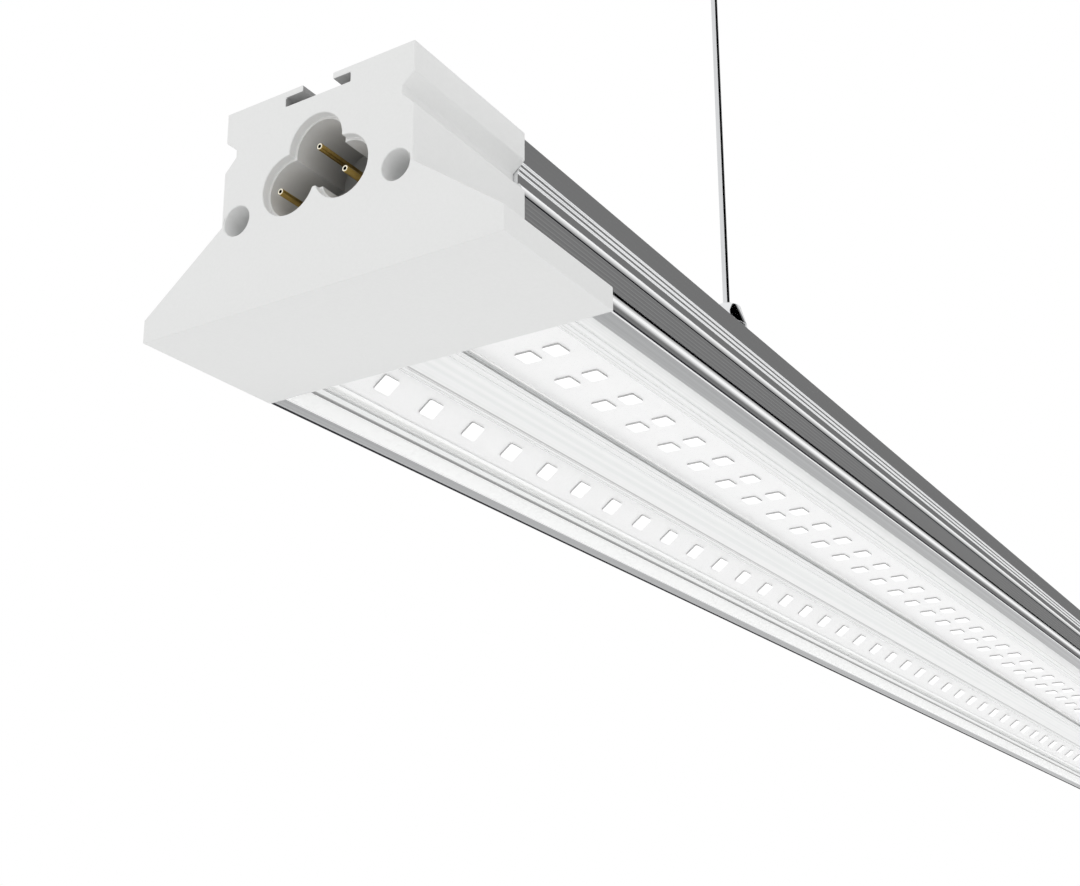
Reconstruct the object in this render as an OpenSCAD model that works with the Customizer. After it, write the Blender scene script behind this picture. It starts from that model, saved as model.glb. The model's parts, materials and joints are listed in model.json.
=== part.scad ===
// Hanging shop light: an extruded housing with two sloping wings, four rows of light
// chips under a clear cover, an inlet in each end cap and two wires to the ceiling.
// The origin is on the ceiling, midway between the two ceiling fittings.
// X runs along the light, and its end at -X is called near. Y is across it, and its side
// at +Y is called left. Heights named _z are counted up from the light's underside.

/* [Light] */
// Overall length over both end caps
light_l = 1170; // [700:5:1500]
// Overall width over the wing tips
light_w = 86; // [84:0.5:92]
// Height of the end caps
light_h = 45; // [44.5:0.5:50]
// Width of the upper box over the end caps
box_w = 46.4; // [46:0.2:48]
// Height of the wing roots above the underside
root_h = 19.9; // [19.5:0.1:20.5]
// Height of the upright edge at each wing tip
lip_h = 5; // [4.8:0.1:5.6]

/* [Top slot] */
// Width of the slot's mouth
slot_w = 7.4; // [6.5:0.1:9]
// Width of the undercut below the mouth
undercut_w = 16; // [14:0.2:17]
// Depth of the slot's floor below the top of the end caps
slot_deep = 3.4; // [3.3:0.1:3.8]
// Thickness of the slot's lips in the end caps
cap_lip_t = 1.4; // [1.2:0.1:1.6]
// Thickness of the slot's lips in the housing
house_lip_t = 1.2; // [0.9:0.1:1.4]

/* [Side groove] */
// Drop from the top of the end caps to the groove
groove_drop = 6.5; // [6:0.1:7]
// Height of the groove at its mouth
groove_h = 6.8; // [6.4:0.1:7]
// Depth of the groove in the end caps
groove_d = 2.75; // [2:0.05:3]
// Height of the groove's upper slope
groove_upper = 2.2; // [1.8:0.1:2.4]
// Height of the groove's lower slope
groove_lower = 2.8; // [2.4:0.1:3]
// Width of each step in the housing's groove
stair_in = 0.4; // [0.3:0.05:0.45]
// Height of each step in the housing's groove
stair_down = 0.95; // [0.6:0.05:1.1]
// Height of the plain strip below the housing's groove
strip_h = 1.8; // [1.4:0.1:2]
// How far the plain strip leans in at its top
strip_in = 0.1; // [0.05:0.05:0.2]
// Drop from the foot of the caps' groove to the foot of the plain strip
strip_drop = 0.4; // [0.2:0.1:0.6]
// Depth of the line under the plain strip
line_d = 0.35; // [0.25:0.05:0.5]
// Height of the line under the plain strip
line_h = 0.4; // [0.3:0.05:0.5]
// Number of fine ribs below the line
rib_n = 10; // [4:1:12]
// Depth of the fine ribs
rib_d = 0.15; // [0.1:0.05:0.25]

/* [Housing] */
// How far the end caps stand proud of the upper box
cap_proud = 0.6; // [0.3:0.05:0.8]
// How far the wings lie under the end caps' wings
wing_inset = 0.15; // [0.1:0.05:0.4]
// Wall of the upper box
wall_t = 1.4; // [1.2:0.1:1.6]
// Thickness of the web that carries the centre board
web_t = 1.2; // [1:0.1:1.4]
// Drop from the wing roots to the web's underside
web_drop = 0.9; // [0.7:0.1:1.1]
// Thickness of the wings
wing_t = 1.1; // [0.9:0.1:1.3]
// How far the rounded lips lie inside the wing tips
lip_inset = 0.9; // [0.7:0.1:1.2]
// How far the rounded lips bulge
lip_bulge = 1.1; // [0.7:0.1:1.3]
// Height of the upright part of the lips over the flanges
lip_foot = 0.6; // [0.3:0.1:1]
// How far the flanges lie inside the wing tips
flange_inset = 0.3; // [0.1:0.1:0.6]
// Thickness of the flanges
flange_t = 1; // [0.8:0.1:1.3]
// Width of the lips at the underside
lip_w = 4.7; // [4.5:0.1:5]
// Chamfer on the housing's outer edges
edge_c = 0.3; // [0.2:0.1:0.7]
// Outer radius of the screw ports
port_r = 2.7; // [2.5:0.1:2.9]

/* [Light side] */
// Width of the centre board
centre_w = 26.2; // [24:0.2:27]
// Width of the wing boards as a share of the wings' undersides
wing_board_share = 0.581; // [0.5:0.001:0.6]
// Where the wing boards' middle lies, as a share of the wings' undersides
wing_middle_share = 0.605; // [0.58:0.001:0.62]
// Thickness of the boards
board_t = 0.7; // [0.6:0.05:0.8]
// Distance of the two centre rows from the centre plane
row_y = 3.76; // [3:0.02:6]
// Length of a light chip along the light
chip_l = 5.5; // [3:0.1:6]
// Width of a light chip
chip_w = 4.4; // [3:0.1:5]
// Height of a light chip
chip_h = 0.45; // [0.35:0.05:0.55]
// Spacing of the chips along the light
chip_pitch = 17.65; // [12:0.05:30]
// Least distance from the end of a board to a chip's middle
chip_edge = 8; // [6:0.5:12]
// Thickness of the hooks that hold the boards
hook_t = 0.4; // [0.3:0.05:0.5]
// How far the hooks reach under the boards
hook_in = 0.5; // [0.3:0.05:0.6]
// Thickness of the clear cover
cover_t = 0.8; // [0.6:0.05:0.9]
// Gap between the centre chips and the cover
cover_gap = 0.6; // [0.5:0.05:0.7]
// Gap between the wing chips and the cover
wing_gap = 0.35; // [0.3:0.05:0.45]
// Half width of the cover's level middle
cover_flat = 17; // [16.5:0.1:17.2]
// Where the cover's wing panels begin, as a share of the wings' undersides
cover_bend_share = 0.165; // [0.15:0.001:0.18]
// Width of the cover's edge inside the lips
cover_edge = 1.6; // [1.2:0.1:1.8]
// Height of the cover's fine ribs
cover_rib_h = 0.3; // [0.2:0.05:0.4]
// Width of the cover's fine ribs
cover_rib_w = 0.5; // [0.3:0.05:0.6]

/* [End caps] */
// Length of each end cap
cap_l = 38; // [36:0.5:45]
// Wall of the end caps
cap_t = 2; // [1.6:0.1:2.2]
// Wall of the end caps over the wings
cap_wing_t = 1; // [0.8:0.05:1.1]
// Thickness of the front wall round the inlet
front_t = 1.85; // [1.5:0.05:2.2]
// Radius of the screw recesses
recess_r = 3.2; // [3:0.05:3.4]
// Depth of the screw recesses
recess_d = 28; // [24:0.5:30]
// Distance of the screws from the centre plane
screw_y = 19.3; // [19.1:0.1:19.5]
// Height of the screws above the underside
screw_z = 20.2; // [20:0.1:20.4]
// Wall round the screw recesses
boss_t = 1.8; // [1.4:0.1:2]
// How far the end caps reach into the housing
tongue_l = 6; // [4:0.5:9]
// Wall of the tongue that reaches into the housing
tongue_t = 1.5; // [1.2:0.1:1.8]

/* [Cap screws] */
// Radius of the screw's shank
screw_r = 1.45; // [1.3:0.05:1.6]
// Length of the screw's shank
screw_l = 20; // [16:0.5:26]
// Radius of the screw's head
screw_head_r = 2.8; // [2.5:0.05:2.9]
// Height of the screw's head
screw_head_h = 2.2; // [1.8:0.1:2.6]
// Width of the slots of the cross in the head
cross_w = 0.9; // [0.7:0.1:1.1]

/* [Inlet] */
// Radius of the three lobes in the end cap
lobe_r = 6.42; // [6.3:0.02:6.6]
// Radius of the three lobes in the socket
well_r = 5.96; // [5.8:0.02:6]
// Distance of the lower lobes from the centre plane
lobe_y = 6.42; // [6.2:0.02:6.6]
// Height of the lower lobes above the underside
lobe_low_z = 24.15; // [24:0.05:24.4]
// Height of the upper lobe above the underside
lobe_top_z = 30.9; // [30.7:0.05:31]
// Height of the notch between the lower lobes
notch_z = 21.9; // [21.5:0.1:22.4]
// Depth of the socket's well behind the front wall
well_d = 14.5; // [12:0.5:16]
// Wall of the socket
socket_t = 1.6; // [1.3:0.1:1.7]
// Thickness of the socket's floor
socket_floor = 3; // [2.5:0.1:4]
// Wall of the end cap's collar round the socket
collar_t = 1.2; // [0.8:0.1:1.6]
// Length of the end cap's collar round the socket
collar_d = 10; // [6:0.5:14]
// Radius of the pins
pin_r = 0.7; // [0.6:0.05:0.8]
// Radius of the hole in each pin's tip
pin_bore_r = 0.38; // [0.3:0.02:0.42]
// Depth of the hole in each pin's tip
pin_bore_d = 6; // [4:0.5:8]
// Depth of the pins' tips behind the end cap's face
pin_deep = 1.33; // [0.8:0.01:1.8]
// Distance of the wide-set pin from the centre plane
wide_pin_y = 9.42; // [9:0.02:9.8]
// Radius of the pins in the socket's floor
pin_root_r = 1; // [0.9:0.05:1.1]
// Length of the pins' tails behind the socket
pin_tail = 3; // [2:0.5:4]

/* [Hangers] */
// Distance between the two wires
hang_pitch = 800; // [400:10:840]
// Gap from the top of the end caps up to the ceiling cups
hang_gap = 140; // [60:5:1500]
// Radius of the wires
wire_r = 1; // [0.75:0.05:1]
// Radius of the gripper's barrel
barrel_r = 5.7; // [5.5:0.1:6.5]
// Height of the gripper's barrel
barrel_h = 20; // [19:0.5:24]
// Height of the gripper's cone nose
nose_h = 6.3; // [6:0.1:7]
// Radius of the nose at its top
nose_r = 3.97; // [3.8:0.01:4.4]
// Depth of the nose's thread in the barrel
spigot_l = 4; // [3.5:0.1:4.5]
// Radius of the nose's thread
spigot_r = 4.7; // [4.6:0.05:4.8]
// Radius of the release sleeve
sleeve_r = 2.5; // [2.4:0.05:2.6]
// How far the release sleeve stands up, and is pressed in
press_d = 0.8; // [0.6:0.1:1]
// Radius of the clamping balls
ball_r = 1; // [0.9:0.05:1]
// Number of clamping balls
ball_n = 3; // [3:1:4]
// Radius of the spring's wire
spring_wire_r = 0.25; // [0.2:0.05:0.3]
// Number of turns of the spring
spring_turns = 7; // [4:1:9]
// Radius of the slot bolt's stud
stud_r = 2.5; // [2.2:0.05:2.6]
// Height of the stud inside the barrel
stud_h = 7; // [5:0.5:8]
// Space above the stud inside the barrel
stud_gap = 0.9; // [0.5:0.1:1]
// Thickness of the floor above the stud in the barrel
floor_t = 1.5; // [1:0.1:2]
// Wall between the barrel's thread and its inner room
step_t = 0.8; // [0.6:0.05:1]
// Width of the slot bolt's head across the slot
bolt_head_w = 15; // [12:0.2:15.2]
// Length of the slot bolt's head along the slot
bolt_head_l = 14; // [10:0.5:20]

/* [Ceiling fittings] */
// Radius of the ceiling cups
cup_r = 9; // [8.5:0.1:12]
// Height of the ceiling cups
cup_h = 24; // [22:0.5:30]
// Wall of the ceiling cups
cup_t = 1.9; // [1.6:0.1:2.2]
// Thickness of the ceiling cup's floor
cup_floor = 4; // [3.8:0.1:4.5]
// Thickness of the ceiling base's flange
base_t = 2; // [1.5:0.1:3]
// Height of the threaded boss on the ceiling base
base_boss_h = 8; // [6:0.5:9]
// Radius of the screw hole in the ceiling base
base_hole_r = 2.25; // [2:0.05:2.6]
// Radius of the recess for the ceiling screw's head
base_sink_r = 4.5; // [4:0.1:4.8]
// Depth of the recess for the ceiling screw's head
base_sink_d = 3; // [2.5:0.1:4]
// Radius of the ball on the wire's upper end
stop_r = 3; // [2.8:0.05:3.1]
// Radius of the ferrule above the ball
ferrule_r = 1.9; // [1.7:0.05:2.2]
// Height of the ferrule above the ball's middle
ferrule_h = 5.5; // [5:0.1:7]
// Height of the ball's middle above the cup's lower face
seat_h = 3.6; // [3.5:0.05:3.8]
// How far the light can swing to each side, in degrees
sway = 15; // [8:1:16]

/* [Driver] */
// Length of the driver board
driver_l = 420; // [300:5:480]
// Width of the driver board
driver_w = 28; // [26:0.5:29]
// Thickness of the driver board
driver_t = 1.6; // [1.2:0.1:2]
// Thickness of the driver tray
tray_t = 0.8; // [0.6:0.05:1]
// Height of the driver tray's sides
tray_h = 6; // [4:0.5:8]
// Height of the driver board above the tray's floor
standoff = 1.5; // [1:0.1:2]
// Distance from the near end of the light to the driver board
driver_x = 110; // [100:5:140]
// Radius of the mains leads
lead_r = 0.9; // [0.7:0.05:1]
// Radius of the leads to the boards
thin_lead_r = 0.55; // [0.4:0.05:0.6]

/* [Earth connection] */
// Radius of the earth screw
earth_screw_r = 1.5; // [1.25:0.05:1.75]
// Radius of the earth screw's head
earth_head_r = 2.8; // [2.4:0.1:3]
// Height of the earth screw's head
earth_head_h = 1.8; // [1.4:0.1:2.4]
// Thickness of the earth tag
earth_tag_t = 0.8; // [0.5:0.1:1]
// Length of the earth tag from the screw's middle
earth_tag_l = 10; // [8:0.5:12]

/* [Hidden] */
near = -1;
far = 1;
// running clearance of pieces that slide or turn in each other
run_gap = 0.05;
// clearance of pieces that are pushed together once
fit_gap = 0.1;
// overrun of every cut past the face that it leaves
over = 1;
$fn = 64;

// Ends, levels and half widths
half_l = light_l / 2;
house_l = light_l - 2 * cap_l;
tip_y = light_w / 2;
box_y = box_w / 2;
house_y = box_y - cap_proud;
house_z = light_h - cap_proud;
slot_z = light_h - slot_deep;
groove_z = light_h - groove_drop;
foot_z = groove_z - groove_h;
web_z = root_h - web_drop;
drop = light_h + hang_gap + cup_h + base_t;

// Wings: height of the end cap's wing at y, of the housing's wing and of its underside
wing_slope = (root_h - lip_h) / (tip_y - box_y);
wing_ang = atan(wing_slope);
function cap_wing_z(y) = root_h - (y - box_y) * wing_slope;
function house_wing_z(y) = cap_wing_z(y) - wing_inset / cos(wing_ang);
function under_z(y) = house_wing_z(y) - wing_t / cos(wing_ang);
// The wing's underside reaches from the web to the lip, and carries a board
web_end_y = box_y + (root_h - web_z - (wing_inset + wing_t) / cos(wing_ang)) / wing_slope;
lip_in_y = tip_y - flange_inset - lip_w;
wing_under_w = lip_in_y - web_end_y;
wing_board_w = wing_board_share * wing_under_w / cos(wing_ang);
wing_board_y = web_end_y + wing_middle_share * wing_under_w;
cover_bend = web_end_y + cover_bend_share * wing_under_w;
// point s along the wing's underside from the board's middle and d below it
function wing_point(s, d) = [
    wing_board_y + s * cos(wing_ang) - d * sin(wing_ang),
    under_z(wing_board_y) - s * sin(wing_ang) - d * cos(wing_ang)
];

// Extrudes a section from x0 to x1 along the light, with its underside at height zero
module run(x0, x1) {
    translate([x0, 0, -drop]) rotate([90, 0, 90]) linear_extrude(x1 - x0) children();
}

// Puts a near end's piece at the near or at the far end, turned about the middle
module at_end(side) {
    rotate([0, 0, side == near ? 0 : 180]) children();
}

// Extrudes a section from a to b behind the near end's face
module behind(a, b) {
    run(a - half_l, b - half_l) children();
}

module both_halves() {
    children();
    mirror([1, 0]) children();
}

module screw_place() {
    translate([screw_y, screw_z]) children();
}

// Housing

lip_y = tip_y - lip_inset;
lip_top_z = house_wing_z(lip_y - lip_bulge);
lip_foot_z = flange_t + lip_foot;
lip_arc_r = (pow(lip_top_z - lip_foot_z, 2) + pow(lip_bulge, 2)) / (2 * lip_bulge);
lip_ang = asin((lip_top_z - lip_foot_z) / lip_arc_r);
round_n = 6;
stair_n = 3;
groove_in_y = house_y - stair_n * stair_in;
wing_cover_d = board_t + chip_h + wing_gap + cover_t;
cover_low_z = wing_point(0, wing_cover_d)[1] - (lip_in_y - wing_point(0, wing_cover_d)[0]) * wing_slope;
strip_low_z = foot_z - strip_drop;
strip_z = strip_low_z + strip_h;
shoulder_r = house_y - strip_in - groove_in_y;
band_z = strip_low_z - line_h;
rib_pitch = (band_z - house_wing_z(house_y)) / rib_n;

function stair_points() = [
    for (i = [0:stair_n - 1])
        each [
            [house_y - (i + 1) * stair_in, groove_z - i * stair_down],
            [house_y - (i + 1) * stair_in, groove_z - (i + 1) * stair_down]
        ]
];

// Round edge that turns down from the angle a to upright, about the centre (y, z)
function round_points(y, z, r, a) = [
    for (i = [round_n:-1:0])
        [y + r * cos(a * i / round_n), z + r * sin(a * i / round_n)]
];

rib_top_share = 0.3;
rib_foot_share = 0.7;
function rib_points() = [
    for (i = [0:rib_n - 1])
        each [
            [house_y - rib_d, band_z - i * rib_pitch],
            [house_y, band_z - (i + rib_top_share) * rib_pitch],
            [house_y, band_z - (i + rib_foot_share) * rib_pitch]
        ]
];

module housing_half() {
    polygon(concat(
        [
            [0, house_z],
            [house_y - edge_c, house_z],
            [house_y, house_z - edge_c],
            [house_y, groove_z]
        ],
        stair_points(),
        round_points(groove_in_y, strip_z, shoulder_r, 90),
        [
            [house_y, strip_low_z],
            [house_y - line_d, strip_low_z],
            [house_y - line_d, band_z]
        ],
        rib_points(),
        [
            [house_y - rib_d, house_wing_z(house_y - rib_d)]
        ],
        round_points(lip_y - lip_arc_r, lip_foot_z, lip_arc_r, lip_ang),
        [
            [lip_y, flange_t],
            [tip_y - flange_inset, flange_t],
            [tip_y - flange_inset, 0],
            [lip_in_y + edge_c, 0],
            [lip_in_y, edge_c],
            [lip_in_y, under_z(lip_in_y)],
            [web_end_y, web_z],
            [0, web_z]
        ]
    ));
}

// Hook that holds one edge of a board of width w against the surface at height zero
module board_hook(w) {
    y = w / 2 + fit_gap;
    z = -board_t - run_gap;
    polygon([
        [y, hook_t],
        [y + hook_t, hook_t],
        [y + hook_t, z - hook_t],
        [y - hook_in, z - hook_t],
        [y - hook_in, z],
        [y, z]
    ]);
}

module wing_frame() {
    translate(wing_point(0, 0)) rotate(-wing_ang) children();
}

module cavity_half() {
    polygon([
        [0, slot_z - wall_t],
        [undercut_w / 2 + wall_t, slot_z - wall_t],
        [undercut_w / 2 + wall_t, house_z - wall_t],
        [house_y - wall_t, house_z - wall_t],
        [house_y - wall_t, groove_z + wall_t],
        [groove_in_y - wall_t, groove_z - stair_n * stair_down + wall_t],
        [groove_in_y - wall_t, strip_z],
        [house_y - line_d - wall_t, strip_low_z],
        [house_y - line_d - wall_t, web_z + web_t],
        [0, web_z + web_t]
    ]);
}

// The slot's section, with lips that reach down from top_z by lip_t
module slot_section(top_z, lip_t) {
    translate([-slot_w / 2, slot_z]) square([slot_w, top_z - slot_z + over]);
    translate([-undercut_w / 2, slot_z]) square([undercut_w, top_z - lip_t - slot_z]);
}

module along_house(extra) {
    run(-house_l / 2 - extra, house_l / 2 + extra) both_halves() children();
}

module housing() {
    color("silver")
        difference() {
            union() {
                difference() {
                    along_house(0) housing_half();
                    along_house(over) cavity_half();
                }
                along_house(0) screw_place() circle(port_r);
                along_house(0) translate([0, web_z]) board_hook(centre_w);
                along_house(0) wing_frame() board_hook(wing_board_w);
                along_house(0) wing_frame() mirror([1, 0]) board_hook(wing_board_w);
            }
            run(-light_l / 2, light_l / 2) slot_section(house_z, house_lip_t);
            along_house(over) cover_seat();
            along_house(over) screw_place() circle(screw_r + run_gap);
            translate([earth_x, earth_y, web_z - over - drop])
                cylinder(r = earth_screw_r + run_gap, h = web_t + 2 * over);
        }
}

// Groove in the lip for the cover's edge
module cover_seat() {
    translate([lip_in_y - over, cover_low_z - run_gap])
        square([cover_edge + fit_gap + over, cover_t + 2 * run_gap]);
}

// Light side

cover_z = web_z - board_t - chip_h - cover_gap - cover_t;
cover_mid = wing_point(0, wing_cover_d);
cover_bend_z = cover_mid[1] + (cover_mid[0] - cover_bend) * wing_slope;
cover_panel_w = (lip_in_y - cover_bend) / cos(wing_ang);
flat_rib_shares = [0.76, 0.88, 1];
wing_rib_shares = [0.03, 0.082, 0.804, 0.852];
// point s along the cover's wing panel from its bend and d below it
function panel_point(s, d) = [
    cover_bend + s * cos(wing_ang) - d * sin(wing_ang),
    cover_bend_z - s * sin(wing_ang) - d * cos(wing_ang)
];

function flat_ribs() = [
    for (share = flat_rib_shares)
        each [
            [cover_flat * share - cover_rib_w, cover_z],
            [cover_flat * share - cover_rib_w, cover_z - cover_rib_h],
            [cover_flat * share, cover_z - cover_rib_h],
            [cover_flat * share, cover_z]
        ]
];

function wing_ribs() = [
    for (share = wing_rib_shares)
        each [
            panel_point(cover_panel_w * share, 0),
            panel_point(cover_panel_w * share, cover_rib_h),
            panel_point(cover_panel_w * share + cover_rib_w, cover_rib_h),
            panel_point(cover_panel_w * share + cover_rib_w, 0)
        ]
];

module cover_half() {
    polygon(concat(
        [[0, cover_z]],
        flat_ribs(),
        [[cover_bend, cover_bend_z]],
        wing_ribs(),
        [
            [lip_in_y, cover_low_z],
            [lip_in_y + cover_edge, cover_low_z],
            [lip_in_y + cover_edge, cover_low_z + cover_t],
            [lip_in_y, cover_low_z + cover_t],
            [cover_bend, cover_bend_z + cover_t],
            [cover_flat, cover_z + cover_t],
            [0, cover_z + cover_t]
        ]
    ));
}

module light_cover() {
    color([0.9, 0.96, 0.95, 0.4]) {
        along_house(0) cover_half();
        run(-house_l / 2, house_l / 2) translate([-over, cover_z]) square([2 * over, cover_t]);
    }
}

chip_n = floor((house_l - 2 * chip_edge) / chip_pitch) + 1;

// One row of chips, whose backs are at height zero in the frame that holds them
module chip_row(y) {
    for (i = [0:chip_n - 1])
        let (x = (i - (chip_n - 1) / 2) * chip_pitch)
            translate([x - chip_l / 2, y - chip_w / 2, -chip_h]) cube([chip_l, chip_w, chip_h]);
}

// Frame just under a wing, with Z square to it and Y out along it
module on_wing(side) {
    mirror([0, side > 0 ? 0 : 1, 0])
        translate([0, wing_point(0, run_gap / 2)[0], wing_point(0, run_gap / 2)[1] - drop])
            rotate([-wing_ang, 0, 0]) children();
}

module board(w) {
    translate([-house_l / 2, -w / 2, -board_t]) cube([house_l, w, board_t]);
}

module led_board_centre() {
    color("whitesmoke") translate([0, 0, web_z - drop]) board(centre_w);
}

module led_board_wing(side) {
    color("whitesmoke") on_wing(side) board(wing_board_w);
}

module led_chips_centre() {
    color("white")
        for (side = [-1, 1])
            translate([0, 0, web_z - board_t - drop]) chip_row(side * row_y);
}

module led_chips_wing(side) {
    color("white") on_wing(side) translate([0, 0, -board_t]) chip_row(0);
}

// End caps

cap_in_y = box_y - groove_d - cap_t;
cap_side_y = tip_y - cap_t;
cap_in_z = slot_z - cap_t;
tongue_y = groove_in_y - wall_t - fit_gap;
tongue_low_z = screw_z + port_r + fit_gap;
tongue_top_z = slot_z - wall_t - fit_gap;

module cap_outline_half() {
    polygon([
        [0, 0],
        [0, light_h],
        [box_y, light_h],
        [box_y, groove_z],
        [box_y - groove_d, groove_z - groove_upper],
        [box_y - groove_d, foot_z + groove_lower],
        [box_y, foot_z],
        [box_y, root_h],
        [tip_y, lip_h],
        [tip_y, 0]
    ]);
}

module cap_inside_half() {
    polygon([
        [0, cap_t],
        [0, cap_in_z],
        [cap_in_y, cap_in_z],
        [cap_in_y, cap_wing_z(cap_in_y) - cap_wing_t / cos(wing_ang)],
        [cap_side_y, cap_wing_z(cap_side_y) - cap_wing_t / cos(wing_ang)],
        [cap_side_y, cap_t]
    ]);
}

module cap_boss() {
    intersection() {
        screw_place() circle(recess_r + boss_t);
        cap_outline_half();
    }
}

// Three round lobes of radius r, joined in the middle
module lobes(r) {
    for (y = [-lobe_y, lobe_y]) translate([y, lobe_low_z]) circle(r);
    translate([0, lobe_top_z]) circle(r);
    low_z = notch_z + lobe_r - r;
    translate([-lobe_y / 2, low_z]) square([lobe_y, lobe_top_z - low_z]);
}

module tongue_section(t) {
    translate([t - tongue_y, tongue_low_z + t])
        square([2 * (tongue_y - t), tongue_top_z - tongue_low_z - 2 * t]);
}

sleeve_gap_t = socket_t + run_gap;

module end_cap(side) {
    color("gainsboro")
        at_end(side)
            difference() {
                union() {
                    difference() {
                        behind(0, cap_l) both_halves() cap_outline_half();
                        behind(front_t, cap_l - cap_t) both_halves() cap_inside_half();
                    }
                    behind(over, cap_l - over) both_halves() cap_boss();
                    behind(over, collar_d)
                        intersection() {
                            lobes(well_r + sleeve_gap_t + collar_t);
                            both_halves() cap_inside_half();
                        }
                    behind(cap_l - cap_t, cap_l + tongue_l) tongue_section(0);
                }
                behind(-over, cap_l + over) slot_section(light_h, cap_lip_t);
                behind(-over, front_t + over) lobes(lobe_r);
                behind(front_t, collar_d + over) lobes(well_r + sleeve_gap_t);
                behind(-over, recess_d) both_halves() screw_place() circle(recess_r);
                behind(recess_d - over, cap_l + over) both_halves() screw_place() circle(screw_r + fit_gap);
                behind(cap_l - cap_t - over, cap_l + tongue_l + over) tongue_section(tongue_t);
                behind(cap_l - cap_t - over, cap_l + over) lead_ways();
            }
}

// Ways in the back wall for the leads to the three boards
module lead_ways() {
    translate([0, board_end_z]) circle(thin_lead_r + fit_gap);
    both_halves() translate(wing_end) circle(thin_lead_r + fit_gap);
}
board_end_z = web_z - board_t / 2;
wing_end = wing_point(0, board_t / 2);

module cap_screws() {
    color("dimgray")
        for (side = [near, far], y = [-screw_y, screw_y])
            at_end(side) translate([recess_d - half_l, y, screw_z - drop]) rotate([0, 90, 0]) cap_screw();
}

cross_l = 2 * screw_head_r * 0.7;
cross_d = screw_head_h / 2;

module cap_screw() {
    cylinder(r = screw_r, h = screw_l);
    difference() {
        translate([0, 0, -screw_head_h]) cylinder(r = screw_head_r, h = screw_head_h);
        for (turn = [0, 90])
            rotate(turn) translate([-cross_l / 2, -cross_w / 2, -screw_head_h - over])
                cube([cross_l, cross_w, cross_d + over]);
    }
}

// Inlets

socket_back = front_t + well_d + socket_floor;
pins = [[wide_pin_y, lobe_low_z], [-lobe_y, lobe_low_z], [0, lobe_top_z]];

module inlet_socket(side) {
    color("lightgray")
        at_end(side)
            difference() {
                behind(front_t, socket_back) lobes(well_r + socket_t);
                behind(front_t - over, front_t + well_d) lobes(well_r);
                for (p = pins)
                    behind(front_t + well_d - over, socket_back + over)
                        translate(p) circle(pin_root_r + run_gap);
            }
}

module inlet_pins(side) {
    color("goldenrod")
        at_end(side)
            for (p = pins)
                translate([-half_l, p[0], p[1] - drop]) rotate([0, 90, 0])
                    rotate_extrude()
                        polygon([
                            [pin_bore_r, pin_deep],
                            [pin_r, pin_deep],
                            [pin_r, front_t + well_d],
                            [pin_root_r, front_t + well_d],
                            [pin_root_r, socket_back + pin_tail],
                            [0, socket_back + pin_tail],
                            [0, pin_deep + pin_bore_d],
                            [pin_bore_r, pin_deep + pin_bore_d]
                        ]);
}

// Leads: one tube swept along its own points

lead_sides = 8;
function unit(v) = v / norm(v);
function heading(path, i) =
    unit(path[min(i + 1, len(path) - 1)] - path[max(i - 1, 0)]);
function tube_ring(path, i, r) =
    let (t = heading(path, i), a = unit(cross(t, [0, 1, 2])), b = cross(t, a))
    [for (k = [0:lead_sides - 1])
        path[i] + r * (a * cos(k * 360 / lead_sides) + b * sin(k * 360 / lead_sides))];

module tube(path, r) {
    n = len(path);
    rings = [for (i = [0:n - 1]) each tube_ring(path, i, r)];
    sides = [
        for (i = [0:n - 2], k = [0:lead_sides - 1])
            let (a = i * lead_sides, next = (k + 1) % lead_sides)
            [a + k, a + next, a + lead_sides + next, a + lead_sides + k]
    ];
    start = [for (k = [lead_sides - 1:-1:0]) k];
    end = [for (k = [0:lead_sides - 1]) (n - 1) * lead_sides + k];
    translate([0, 0, -drop]) polyhedron(rings, concat(sides, [start, end]));
}

// Points of a lead from pin a of the near inlet to pin b of the far one, through middle
tail_x = half_l - socket_back - pin_tail;
bend = cap_l / 2;
lead_z = slot_z - wall_t - 2 * lead_r;
function through_points(a, b, y0, y1, z) = [
    [-tail_x, a[0], a[1]],
    [-tail_x + 4 * lead_r, a[0], a[1]],
    [-half_l + cap_l + bend / 2, y0, (a[1] + z) / 2],
    [-half_l + cap_l + bend, y0, z],
    [-house_l / 4, (y0 * 3 + y1) / 4, z],
    [house_l / 4, (y0 + y1 * 3) / 4, z],
    [half_l - cap_l - bend, y1, z],
    [half_l - cap_l - bend / 2, y1, (b[1] + z) / 2],
    [tail_x - 4 * lead_r, b[0], b[1]],
    [tail_x, b[0], b[1]]
];

lead_y = 3 * lead_r;
function turned(p) = [-p[0], p[1]];

module live_lead() {
    color("saddlebrown")
        tube(through_points(pins[0], turned(pins[0]), lead_y * 2, -lead_y * 2, lead_z), lead_r);
}

module neutral_lead() {
    color("royalblue")
        tube(through_points(pins[1], turned(pins[1]), -lead_y * 2, lead_y * 2, lead_z - 3 * lead_r), lead_r);
}

// The earth lead has a branch to the tag on the housing
beside = 2 * lead_r + fit_gap;
function earth_points() = [
    [-tail_x, pins[2][0] - beside, pins[2][1]],
    [-tail_x + 4 * lead_r, pins[2][0] - beside, pins[2][1]],
    [cap_l - half_l, -2 * beside, pins[2][1] + beside],
    [cap_l - half_l + bend / 2, earth_y, pins[2][1]],
    [cap_l - half_l + bend, earth_y, lobe_low_z],
    [earth_x - earth_tag_l - 2 * lead_r, earth_y, web_z + web_t + lead_r],
    [earth_x - earth_tag_l, earth_y, web_z + web_t + lead_r]
];

module earth_lead() {
    color("yellowgreen") {
        tube(through_points(pins[2], turned(pins[2]), lead_y * 4, lead_y * 4, lead_z), lead_r);
        tube(earth_points(), lead_r);
    }
}

earth_x = cap_l * 2 - half_l;
earth_y = -driver_w / 3;

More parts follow.
